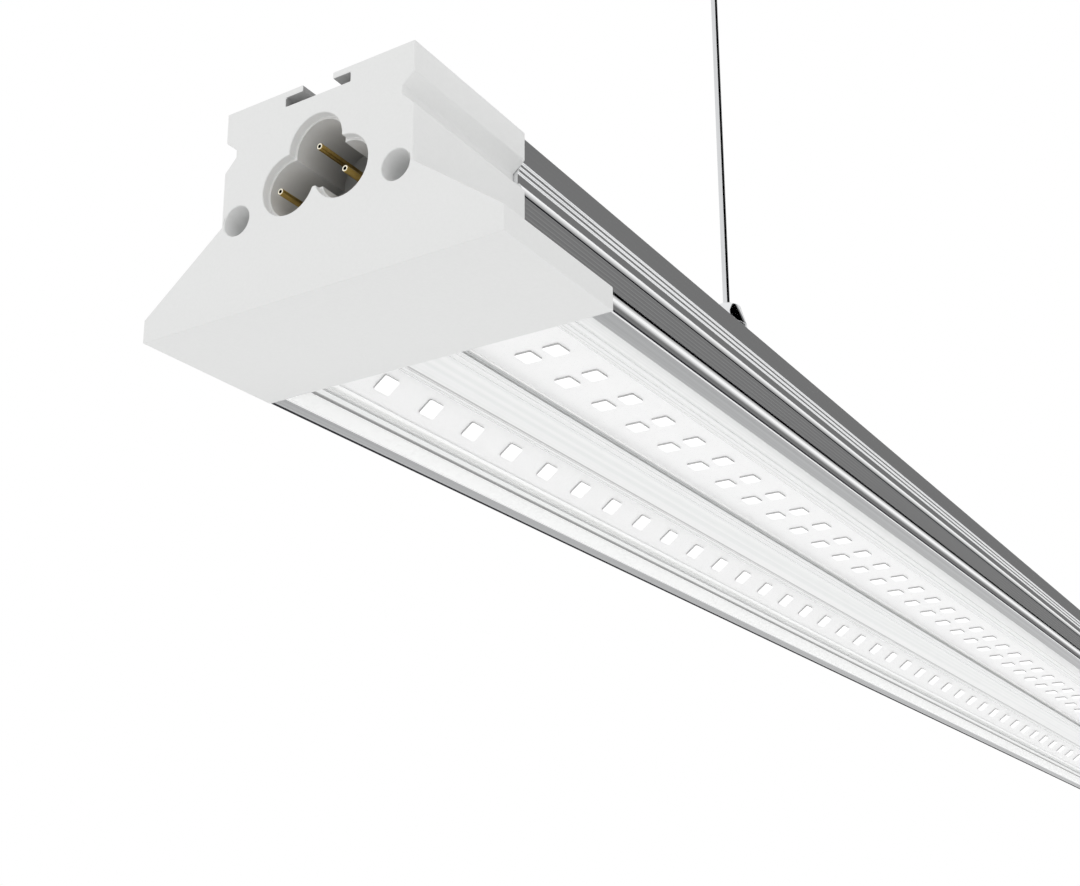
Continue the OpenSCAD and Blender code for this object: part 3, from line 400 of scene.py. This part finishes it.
def finishPiece(bm, name, body, slot, node, more=(), smooth=edges["crease"]):
    # more are the looks of the faces whose material index is 1 and up
    bmesh.ops.remove_doubles(bm, verts=bm.verts[:], dist=weld)
    bmesh.ops.recalc_face_normals(bm, faces=bm.faces[:])
    bmesh.ops.scale(bm, vec=(mm, mm, mm), verts=bm.verts[:])
    for edge in bm.edges:
        edge.smooth = len(edge.link_faces) == 2 and edge.calc_face_angle(0.0) < math.radians(smooth)
    for face in bm.faces:
        face.smooth = True
    obj = meshObject(bm, name)
    obj.data.materials.append(looks[slot])
    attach(obj, body)
    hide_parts(node)
    for look in more:
        obj.data.materials.append(looks[look])


print("stage: housing")

housing = {"end": 547.0, "side": 22.6, "top": 44.4, "slotFloor": 41.6, "slotHalf": 8.0, "mouthHalf": 3.7,
           "slotLip": 1.2, "wall": 1.4, "groove": 38.5, "stairIn": 0.4, "stairDown": 0.95, "stairs": 3,
           "stripLow": 31.3, "stripBack": 33.2, "stripRadius": 10.5, "stripTilt": (5.5, 17.0), "shoulder": 0.8,
           "arcSteps": 8, "lineDeep": 0.35, "lineHigh": 0.4, "ribs": 10, "ribFlat": (0.3, 0.7),
           "ribDeep": 0.04, "web": 19.0, "webThick": 1.2, "corner": 0.3, "port": (19.3, 20.2),
           "portRadius": 2.7, "portSteps": 10, "boardHalf": 13.1, "soft": 0.08, "softSteps": 2, "smooth": 12.0}
wing = {"root": 23.2, "rootHeight": 19.9, "tip": 43.0, "tipHeight": 5.0, "inset": 0.15, "thick": 1.1,
        "lipIn": 38.0, "lipOut": 42.1, "lipFoot": 1.3, "lipRadius": 8.25, "lipTurn": 42.0, "lipEdge": 40.6,
        "lipSteps": 18, "flangeOut": 42.7, "flangeThick": 0.7, "edge": 0.2, "farShadeLine": 0.9,
        "glowBands": ((11.9, 14.2), (35.6, 38.05)), "boardMiddle": 31.805, "boardHalf": 5.702}
# the hooks that hold the boards: how far outside the board's edge, over it and clear of it, and how
# deep the top and the foot of the tongue lie
hook = {"out": 0.5, "over": 0.4, "gap": 0.1, "top": 0.75, "foot": 1.15}
# how far beyond an edge or a height the middle of a face may lie and still belong to it
margins = {"foot": 0.04, "lipSide": 0.05, "lipTop": 0.02, "flange": 0.05, "web": 0.05, "line": 0.1,
           "level": 0.9, "facingDown": 0.3}
wingSlope = (wing["rootHeight"] - wing["tipHeight"]) / (wing["tip"] - wing["root"])
wingAngle = math.atan(wingSlope)
stairFloor = housing["side"] - housing["stairs"] * housing["stairIn"]


def wingTop(y):
    return wing["rootHeight"] - (y - wing["root"]) * wingSlope - wing["inset"] / math.cos(wingAngle)


def wingUnder(y):
    return wingTop(y) - wing["thick"] / math.cos(wingAngle)


def onWing(along, below):
    return (wing["boardMiddle"] + along * math.cos(wingAngle) - below * math.sin(wingAngle),
            wingUnder(wing["boardMiddle"]) - along * math.sin(wingAngle) - below * math.cos(wingAngle))


def onArc(middle, radius, degrees):
    turn = math.radians(degrees)
    return middle + radius * Vector((math.cos(turn), math.sin(turn)))


lipMiddle = Vector((wing["lipOut"] - wing["lipRadius"], wing["lipFoot"]))
lipTop = onArc(lipMiddle, wing["lipRadius"], wing["lipTurn"])


def slotPath(h):
    return [(0, h["slotFloor"]), (h["slotHalf"], h["slotFloor"]), (h["slotHalf"], h["top"] - h["slotLip"]),
            (h["mouthHalf"], h["top"] - h["slotLip"]), (h["mouthHalf"], h["top"]),
            (h["side"] - h["corner"], h["top"]), (h["side"], h["top"] - h["corner"]), (h["side"], h["groove"])]


def groovePath(h):
    # small stairs, then the strip with a rounded shoulder, and the groove under it, which is painted dark as
    # shade
    path = []
    for i in range(h["stairs"]):
        y = h["side"] - (i + 1) * h["stairIn"]
        path += [(y, h["groove"] - i * h["stairDown"]), (y, h["groove"] - (i + 1) * h["stairDown"])]
    low, high = h["stripTilt"]
    stripMiddle = onArc(Vector((h["side"], h["stripLow"])), -h["stripRadius"], low)
    shoulder = onArc(stripMiddle, h["stripRadius"] - h["shoulder"], high)
    lineIn = h["side"] - h["lineDeep"]
    return path + [(stairFloor, shoulder.y + h["shoulder"]), (shoulder.x, shoulder.y + h["shoulder"]),
                   ("arc", tuple(shoulder), high - 90, h["arcSteps"]),
                   ("arc", tuple(stripMiddle), low - high, h["arcSteps"]),
                   (lineIn, h["stripLow"]), (lineIn, h["stripLow"] - h["lineHigh"])]


def ribPath(h):
    top = h["stripLow"] - h["lineHigh"]
    pitch = (top - wingTop(h["side"])) / h["ribs"]
    valley = h["side"] - h["ribDeep"]
    path = []
    for i in range(h["ribs"]):
        path.append((valley, top - i * pitch))
        path += [(h["side"], top - (i + share) * pitch) for share in h["ribFlat"]]
    return path + [(valley, wingTop(valley))]


def lipPath(w, corner):
    footOut = w["flangeOut"] - w["edge"]
    return [(w["lipEdge"], wingTop(w["lipEdge"])), tuple(lipTop),
            ("arc", tuple(lipMiddle), -w["lipTurn"], w["lipSteps"]), (w["lipOut"], w["flangeThick"]),
            (w["flangeOut"], w["flangeThick"]), (w["flangeOut"], w["edge"]), (footOut, 0),
            (footOut - w["farShadeLine"], 0), (w["lipIn"] + corner, 0), (w["lipIn"], corner),
            (w["lipIn"], wingUnder(w["lipIn"]))]


def hookPath(half):
    # (distance from the board's middle, depth) from the outside inwards
    out, over, gap = half + hook["out"], half - hook["over"], half + hook["gap"]
    return [(out, 0), (out, hook["foot"]), (over, hook["foot"]), (over, hook["top"]), (gap, hook["top"]),
            (gap, 0)]


def boardPath(h, w):
    # the hooks of the wing's board, the screw port in the corner and the hook of the centre board
    wingHook = hookPath(w["boardHalf"])
    path = [onWing(s, d) for s, d in wingHook] + [onWing(-s, d) for s, d in reversed(wingHook)]
    shell = (w["inset"] + w["thick"]) / math.cos(wingAngle)
    portSide, portHeight = h["port"]
    above = portHeight - h["web"]
    path += [(w["root"] + (w["rootHeight"] - h["web"] - shell) / wingSlope, h["web"]),
             (portSide + math.sqrt(h["portRadius"] ** 2 - above ** 2), h["web"]),
             ("arc", h["port"], -2 * math.degrees(math.acos(above / h["portRadius"])), h["portSteps"])]
    return path + [(s, h["web"] - d) for s, d in hookPath(h["boardHalf"])] + [(0, h["web"])]


def insidePath(h):
    floor, wall = h["web"] + h["webThick"], h["side"] - h["wall"]
    underSlot = h["slotFloor"] - h["wall"]
    return [(0, floor), (wall - h["lineDeep"], floor), (wall - h["lineDeep"], h["stripLow"]),
            (stairFloor - h["wall"], h["stripBack"]),
            (stairFloor - h["wall"], h["groove"] - h["stairs"] * h["stairDown"] + h["wall"]),
            (wall, h["groove"] + h["wall"]), (wall, h["top"] - h["wall"]),
            (h["slotHalf"] + h["wall"], h["top"] - h["wall"]), (h["slotHalf"] + h["wall"], underSlot),
            (0, underSlot)]


def paintHousingLightAndShade(bm):
    # 1 is the brushed underside of the flanges, darkened as painted shade, 2 the lines of painted shade and 3
    # the white faces beside the boards, which glow as painted light
    h, w, m = housing, wing, margins
    bm.normal_update()
    for face in bm.faces:
        at = face.calc_center_median() + Vector((0, 0, drop))
        side = abs(at.y)
        inGlowBands = any(a < side < b for a, b in w["glowBands"])
        # painted shade on the flanges' feet and edges, and painted light on the faces beside the boards
        if side > w["lipIn"] and at.z < m["foot"] and abs(face.normal.z) > m["level"]:
            face.material_index = 2 if at.y > w["flangeOut"] - w["edge"] - w["farShadeLine"] else 1
        elif side > lipTop.x - m["lipSide"] and at.z > lipTop.y - m["lipTop"]:
            face.material_index = 2
        elif side > w["flangeOut"] - m["flange"] and at.z > w["edge"]:
            face.material_index = 2
        elif inGlowBands and at.z < h["web"] + m["web"] and face.normal.z < m["facingDown"]:
            face.material_index = 3
        elif (side > h["side"] - h["lineDeep"] - m["line"]
              and h["stripLow"] - h["lineHigh"] < at.z < h["stripLow"]):
            face.material_index = 2


def makeHousing():
    h, w = housing, wing
    path = slotPath(h) + groovePath(h) + ribPath(h) + lipPath(w, h["corner"]) + boardPath(h, w)
    path += insidePath(h)
    bm = longPiece(path, h["end"], h["soft"], h["softSteps"])
    paintHousingLightAndShade(bm)
    finishPiece(bm, "housingExtrusion", "light", "extrusion", "housing",
                ("extrusion_shaded_foot", "extrusion_shade_line", "inner_white_glow"), h["smooth"])


makeHousing()

print("stage: end caps")

cap = {"end": 585.0, "length": 38.0, "top": 45.0, "slotLip": 1.4, "grooveIn": 20.45, "grooveHigh": 36.3,
       "grooveLow": 34.5, "grooveFoot": 31.7, "pocket": 25.0, "recess": 3.2, "recessDeep": 28.0,
       "recessAt": (19.3, 20.2), "recessSteps": 40, "lobeRadius": 6.42, "lobeSide": 6.42, "lobeLow": 24.15,
       "lobeTop": 30.9, "lobeSteps": (10, 26), "notch": 21.9, "soft": 0.25, "softSteps": 3, "smooth": 50.0,
       "shadeLow": 41.4, "shadeSide": 8.1, "acrossAxis": 0.5, "level": 0.9}


def capOutline():
    c, h, w = cap, housing, wing
    return [(0, h["slotFloor"]), (h["slotHalf"], h["slotFloor"]), (h["slotHalf"], c["top"] - c["slotLip"]),
            (h["mouthHalf"], c["top"] - c["slotLip"]), (h["mouthHalf"], c["top"]), (w["root"], c["top"]),
            (w["root"], h["groove"]), (c["grooveIn"], c["grooveHigh"]), (c["grooveIn"], c["grooveLow"]),
            (w["root"], c["grooveFoot"]), (w["root"], w["rootHeight"]), (w["tip"], w["tipHeight"]),
            (w["tip"], 0), (0, 0)]


def lobeOutline():
    # half of the three-lobed opening, from the top of the upper lobe down to the notch
    c = cap
    low, top = Vector((c["lobeSide"], c["lobeLow"])), Vector((0, c["lobeTop"]))
    gap = low - top
    reach = math.sqrt(c["lobeRadius"] ** 2 - (gap.length / 2) ** 2)
    meet = (low + top) / 2 + reach * Vector((-gap.y, gap.x)).normalized()
    upTurn = math.degrees(math.atan2(meet.x - top.x, meet.y - top.y))
    start = math.degrees(math.atan2(meet.y - low.y, meet.x - low.x))
    foot = low.x - math.sqrt(c["lobeRadius"] ** 2 - (c["notch"] - low.y) ** 2)
    end = math.degrees(math.atan2(c["notch"] - low.y, foot - low.x))
    return [(0, c["lobeTop"] + c["lobeRadius"]), ("arc", tuple(top), -upTurn, c["lobeSteps"][0]),
            ("arc", tuple(low), -((start - end) % 360), c["lobeSteps"][1]), (0, c["notch"])]


def drawOpening(bm, x):
    before = set(bm.edges)
    verts = drawPath(bm, x, lowered(lobeOutline()))
    half = [e for e in bm.edges if e not in before]
    bmesh.ops.mirror(bm, geom=verts + half, axis="Y", merge_dist=weld)
    bmesh.ops.remove_doubles(bm, verts=[v for v in bm.verts if abs(v.co.y) < weld], dist=weld)
    return [e for e in bm.edges if e not in before]


def drawRecess(bm, x, side):
    before = set(bm.edges)
    across, height = cap["recessAt"]
    ring = bmesh.ops.create_circle(bm, segments=cap["recessSteps"], radius=cap["recess"])
    bmesh.ops.rotate(bm, verts=ring["verts"], cent=(0, 0, 0), matrix=Matrix.Rotation(math.pi / 2, 3, "Y"))
    bmesh.ops.translate(bm, verts=ring["verts"], vec=(x, side * across, height - drop))
    return [e for e in bm.edges if e not in before]


def makeCap(name, node, turned):
    c = cap
    x = -c["end"]
    bm = bmesh.new()
    drawPath(bm, x, lowered(capOutline()))
    mirrorAcross(bm)
    outer = bm.edges[:]
    opening = drawOpening(bm, x)
    recesses = [drawRecess(bm, x, side) for side in (-1, 1)]
    bmesh.ops.triangle_fill(bm, use_beauty=True, edges=bm.edges[:])
    for loop, deep in ((outer, c["length"]), (opening, c["pocket"]), (recesses[0], c["recessDeep"]),
                       (recesses[1], c["recessDeep"])):
        grown = bmesh.ops.extrude_edge_only(bm, edges=loop)["geom"]
        verts = vertsOf(grown)
        bmesh.ops.translate(bm, verts=verts, vec=(deep, 0, 0))
        moved = set(verts)
        far = [g for g in grown if isinstance(g, bmesh.types.BMEdge) and all(v in moved for v in g.verts)]
        bmesh.ops.contextual_create(bm, geom=far)
    soften(bm, c["soft"], c["softSteps"], edges["capSharp"])
    if turned:
        turnRound(bm)
    # painted shade darkens the inside of the slot
    bm.normal_update()
    for face in bm.faces:
        at = face.calc_center_median() + Vector((0, 0, drop))
        if (at.z > c["shadeLow"] and abs(at.y) < c["shadeSide"] and abs(face.normal.x) < c["acrossAxis"]
                and face.normal.z < c["level"]):
            face.material_index = 1
    finishPiece(bm, name, "light", "cap_plastic", node, ("cap_shade",), c["smooth"])


makeCap("endCapNear", "end_cap_near", False)
makeCap("endCapFar", "end_cap_far", True)

print("stage: inlet pins")

pin = {"radius": 0.7, "bore": 0.38, "boreDeep": 6.0, "tip": 1.33, "root": 16.35, "back": 22.35,
       "rootRadius": 1.0, "bevelIn": 0.08, "bevelDeep": 0.15, "brightDeep": 0.16, "acrossAxis": 0.5,
       "steps": 32, "places": ((9.42, 24.15), (-6.42, 24.15), (0.0, 30.9))}


def makePins(name, node, turned):
    p = pin
    boreEnd = p["tip"] + p["boreDeep"]
    profile = [(p["bore"], p["tip"]), (p["radius"] - p["bevelIn"], p["tip"]),
               (p["radius"], p["tip"] + p["bevelDeep"]), (p["radius"], p["root"]),
               (p["rootRadius"], p["root"]), (p["rootRadius"], p["back"]), (0, p["back"]), (0, boreEnd),
               (p["bore"], boreEnd)]
    bm = bmesh.new()
    for y, z in p["places"]:
        joinInto(bm, turnPiece(profile, (-cap["end"], y, z - drop), "X", p["steps"]))
    if turned:
        turnRound(bm)
    for face in bm.faces:
        deep = abs(abs(face.calc_center_median().x) - (cap["end"] - p["tip"]))
        if deep < p["brightDeep"] and abs(face.normal.x) > p["acrossAxis"]:
            face.material_index = 1
    finishPiece(bm, name, "light", "pin_brass", node, ("pin_tip",))


makePins("inletPinsNear", "inlet_pins_near", False)
makePins("inletPinsFar", "inlet_pins_far", True)

print("stage: light side")

cover = {"level": 16.45, "flat": 17.0, "bend": (24.905, 14.175), "low": (38.0, 4.32), "edge": 39.6,
         "thick": 0.8, "ribHigh": 0.3, "ribWide": 0.5, "flatRibs": (12.92, 14.96, 17.0),
         "wingRibs": (0.03, 0.082, 0.804, 0.852), "soft": 0.06, "softSteps": 1}


def makeCover():
    c = cover
    bend, low = Vector(c["bend"]), Vector(c["low"])
    run = low - bend
    unit = run.normalized()
    down = Vector((unit.y, -unit.x)) * c["ribHigh"]
    path = [(0, c["level"])]
    for y in c["flatRibs"]:
        path += [(y - c["ribWide"], c["level"]), (y - c["ribWide"], c["level"] - c["ribHigh"]),
                 (y, c["level"] - c["ribHigh"]), (y, c["level"])]
    path += [c["bend"]]
    for share in c["wingRibs"]:
        at = bend + share * run
        to = at + unit * c["ribWide"]
        path += [tuple(at), tuple(at + down), tuple(to + down), tuple(to)]
    path += [c["low"], (c["edge"], c["low"][1])]
    path += [(y, z + c["thick"]) for y, z in ((c["edge"], c["low"][1]), c["low"], c["bend"],
                                              (c["flat"], c["level"]), (0, c["level"]))]
    bm = longPiece(path, housing["end"], c["soft"], c["softSteps"])
    finishPiece(bm, "lightCover", "light", "clear_cover", "light_cover")


makeCover()

chip = {"long": 5.5, "wide": 4.4, "high": 0.45, "corner": 0.45, "cornerSteps": 2, "pitch": 17.65,
        "count": 62, "row": 3.76, "boardThick": 0.7, "boardGap": 0.025, "facingDown": -0.5}


def makeChips(name, node, rows, side):
    # side is 0 for the board in the middle, and else the sign of y of the wing
    c = chip
    bm = bmesh.new()
    bmesh.ops.create_cube(bm, size=1.0)
    bmesh.ops.scale(bm, verts=bm.verts[:], vec=(c["long"], c["wide"], c["high"]))
    upright = [e for e in bm.edges if abs(e.verts[0].co.z - e.verts[1].co.z) > c["high"] / 2]
    bmesh.ops.bevel(bm, geom=upright, offset=c["corner"], offset_type="OFFSET", segments=c["cornerSteps"],
                    profile=0.5, affect="EDGES", material=-1)
    for face in bm.faces:
        # the lens faces down, and the walls and back get the painted shade
        face.material_index = 0 if face.normal.z < c["facingDown"] else 1
    bmesh.ops.translate(bm, verts=bm.verts[:], vec=(0, 0, -c["boardThick"] - c["high"] / 2))
    first = bm.verts[:] + bm.edges[:] + bm.faces[:]
    for row in rows:
        for i in range(c["count"]):
            copy = bmesh.ops.duplicate(bm, geom=first)["geom"]
            bmesh.ops.translate(bm, verts=vertsOf(copy), vec=((i - (c["count"] - 1) / 2) * c["pitch"], row, 0))
    bmesh.ops.delete(bm, geom=vertsOf(first), context="VERTS")
    if side:
        y, z = onWing(0, c["boardGap"])
        bmesh.ops.rotate(bm, verts=bm.verts[:], cent=(0, 0, 0), matrix=Matrix.Rotation(-wingAngle, 3, "X"))
        bmesh.ops.translate(bm, verts=bm.verts[:], vec=(0, y, z - drop))
        if side < 0:
            bmesh.ops.scale(bm, verts=bm.verts[:], vec=(1, -1, 1))
    else:
        bmesh.ops.translate(bm, verts=bm.verts[:], vec=(0, 0, housing["web"] - drop))
    finishPiece(bm, name, "light", "light_chip", node, ("chip_wall_shade",))


makeChips("chipsCentre", "led_chips_centre", (-chip["row"], chip["row"]), 0)
makeChips("chipsLeft", "led_chips_left", (0,), 1)
makeChips("chipsRight", "led_chips_right", (0,), -1)

print("stage: hangers")

gripper = {"low": 44.45, "barrelRadius": 5.7, "barrelTop": 64.45, "barrelSoft": 0.3, "noseIn": 0.1,
           "noseFoot": 0.6, "noseTop": 70.75, "noseRadius": 3.97, "noseSoft": 0.25, "sleeveRadius": 2.5,
           "sleeveGap": 0.05, "sleeveTop": 71.55, "sleeveSoft": 0.2, "wireBore": 1.1, "steps": 96,
           "sleeveSteps": 64}


def makeGripper(side, hanger, release, x):
    g = gripper
    suffix = side.capitalize()
    centre = (x, 0, -drop)
    bore = g["sleeveRadius"] + g["sleeveGap"]
    noseFoot = g["barrelRadius"] - g["noseIn"]
    barrel = turnPiece([(bore, g["low"]), (g["barrelRadius"], g["low"]), (g["barrelRadius"], g["barrelTop"]),
                        (bore, g["barrelTop"])], centre, "Z", g["steps"], g["barrelSoft"])
    finishPiece(barrel, "gripperBarrel" + suffix, hanger, "fitting_chrome", "gripper_barrel_" + side)
    nose = turnPiece([(bore, g["barrelTop"]), (noseFoot, g["barrelTop"]),
                      (noseFoot, g["barrelTop"] + g["noseFoot"]), (g["noseRadius"], g["noseTop"]),
                      (bore, g["noseTop"])], centre, "Z", g["steps"], g["noseSoft"])
    finishPiece(nose, "gripperNose" + suffix, hanger, "fitting_chrome", "gripper_nose_" + side)
    sleeve = turnPiece([(g["wireBore"], g["barrelTop"]), (g["sleeveRadius"], g["barrelTop"]),
                        (g["sleeveRadius"], g["sleeveTop"]), (g["wireBore"], g["sleeveTop"])],
                       centre, "Z", g["sleeveSteps"], g["sleeveSoft"])
    finishPiece(sleeve, "releaseSleeve" + suffix, release, "fitting_chrome", "release_sleeve_" + side)


makeGripper("near", "near_hanger", "near_release", -hangerX)
makeGripper("far", "far_hanger", "far_release", hangerX)

# heights here are under the ceiling
fitting = {"radius": 9.0, "cupLow": -26.0, "cupTop": -2.0, "cupInner": 7.1, "floor": 4.0, "seat": 3.05,
           "seatDeep": 0.4, "mouth": 2.1, "cupSoft": 0.35, "flange": -2.0, "boss": 7.05, "bossLow": -10.0,
           "hole": 2.25, "sink": 4.5, "sinkTop": -7.0, "baseSoft": 0.2, "steps": 96}


def makeFitting(side, x):
    f = fitting
    suffix = side.capitalize()
    floor = f["cupLow"] + f["floor"]
    cup = turnPiece([(f["mouth"], f["cupLow"]), (f["radius"], f["cupLow"]), (f["radius"], f["cupTop"]),
                     (f["cupInner"], f["cupTop"]), (f["cupInner"], floor), (f["seat"], floor),
                     (f["seat"], floor - f["seatDeep"])], (x, 0, 0), "Z", f["steps"], f["cupSoft"])
    finishPiece(cup, "ceilingCup" + suffix, "ceiling", "fitting_chrome", "ceiling_cup_" + side)
    base = turnPiece([(f["hole"], 0), (f["radius"], 0), (f["radius"], f["flange"]), (f["boss"], f["flange"]),
                      (f["boss"], f["bossLow"]), (f["sink"], f["bossLow"]), (f["sink"], f["sinkTop"]),
                      (f["hole"], f["sinkTop"])], (x, 0, 0), "Z", f["steps"], f["baseSoft"])
    finishPiece(base, "ceilingBase" + suffix, "ceiling", "fitting_chrome", "ceiling_base_" + side)


makeFitting("near", -hangerX)
makeFitting("far", hangerX)

print("stage: studio")

studio = {"floorHeight": -0.95, "floorHalf": 25.0, "floorColor": 0.95, "floorRoughness": 0.9, "light": 1.0,
          "shown": 1.0}
# panels that only the metal's reflections see: (y, z) of their two long edges, the ends along the
# light, all in metres, and the tones by shares of the way from the first edge to the last
cards = ({"name": "longPanel", "axis": "Z", "first": (-1.2, -0.18), "last": (-1.2, 4.22), "ends": (0.9, 16.0),
          "tones": ((0.0, 0.22), (0.385, 0.175), (0.47, 0.33), (0.61, 0.65), (1.0, 1.0))},
         {"name": "blackPanel", "axis": "Z", "first": (-1.2, -0.78), "last": (-1.2, 2.12), "ends": (-1.4, 0.9),
          "tones": ((0.0, 0.0), (1.0, 0.0))},
         {"name": "highPanel", "axis": "Y", "first": (-0.2, 1.82), "last": (0.9, 1.82), "ends": (1.5, 16.0),
          "tones": ((0.0, 1.0), (0.064, 0.87), (0.227, 0.66), (0.41, 0.5), (0.63, 0.39), (1.0, 0.33))})


def makeFloor():
    bm = bmesh.new()
    bmesh.ops.create_grid(bm, x_segments=1, y_segments=1, size=studio["floorHalf"])
    bmesh.ops.translate(bm, verts=bm.verts[:], vec=(0, 0, studio["floorHeight"]))
    floor = meshObject(bm, "studioFloor")
    material, _, _, shader = newMaterial("paleFloor")
    shader.inputs["Base Color"].default_value = (*[studio["floorColor"]] * 3, 1)
    shader.inputs["Roughness"].default_value = studio["floorRoughness"]
    floor.data.materials.append(material)


def makeCard(card):
    start, end = card["ends"]
    bm = bmesh.new()
    edge = bm.edges.new([bm.verts.new((start, *card[side])) for side in ("first", "last")])
    grown = bmesh.ops.extrude_edge_only(bm, edges=[edge])["geom"]
    bmesh.ops.translate(bm, verts=vertsOf(grown), vec=(end - start, 0, 0))
    sheet = meshObject(bm, card["name"])
    material, nodes, links, shader = newMaterial(card["name"])
    nodes.remove(shader)
    place = "YZ".index(card["axis"])
    share = mapRange(nodes, links, objectParts(nodes, links)[card["axis"]],
                     (card["first"][place], card["last"][place]), (0.0, 1.0))
    glow = nodes.new("ShaderNodeEmission")
    shades = tones(nodes, links, share, [(at, [tone] * 3) for at, tone in card["tones"]])
    links.new(shades, glow.inputs["Color"])
    links.new(glow.outputs[0], nodes["Material Output"].inputs["Surface"])
    sheet.data.materials.append(material)
    sheet.visible_camera = False
    sheet.visible_diffuse = False
    sheet.visible_transmission = False
    sheet.visible_shadow = False


def makeWorld():
    # one strength lights the object, and the other is what the camera, reflections and glass see
    world = bpy.data.worlds.new("studioWorld")
    bpy.context.scene.world = world
    world.use_nodes = True
    nodes, links = world.node_tree.nodes, world.node_tree.links
    nodes.clear()
    mix = nodes.new("ShaderNodeMixShader")
    for place, strength in ((1, studio["light"]), (2, studio["shown"])):
        background = nodes.new("ShaderNodeBackground")
        background.inputs["Color"].default_value = (1, 1, 1, 1)
        background.inputs["Strength"].default_value = strength
        links.new(background.outputs[0], mix.inputs[place])
    rays = nodes.new("ShaderNodeLightPath").outputs
    seen = rays["Is Camera Ray"]
    for name in ("Is Glossy Ray", "Is Transmission Ray"):
        either = nodes.new("ShaderNodeMath")
        either.operation = "MAXIMUM"
        links.new(seen, either.inputs[0])
        links.new(rays[name], either.inputs[1])
        seen = either.outputs[0]
    links.new(seen, mix.inputs[0])
    output = nodes.new("ShaderNodeOutputWorld")
    links.new(mix.outputs[0], output.inputs[0])


makeFloor()
for card in cards:
    makeCard(card)
makeWorld()
bpy.context.scene.view_settings.view_transform = "Standard"
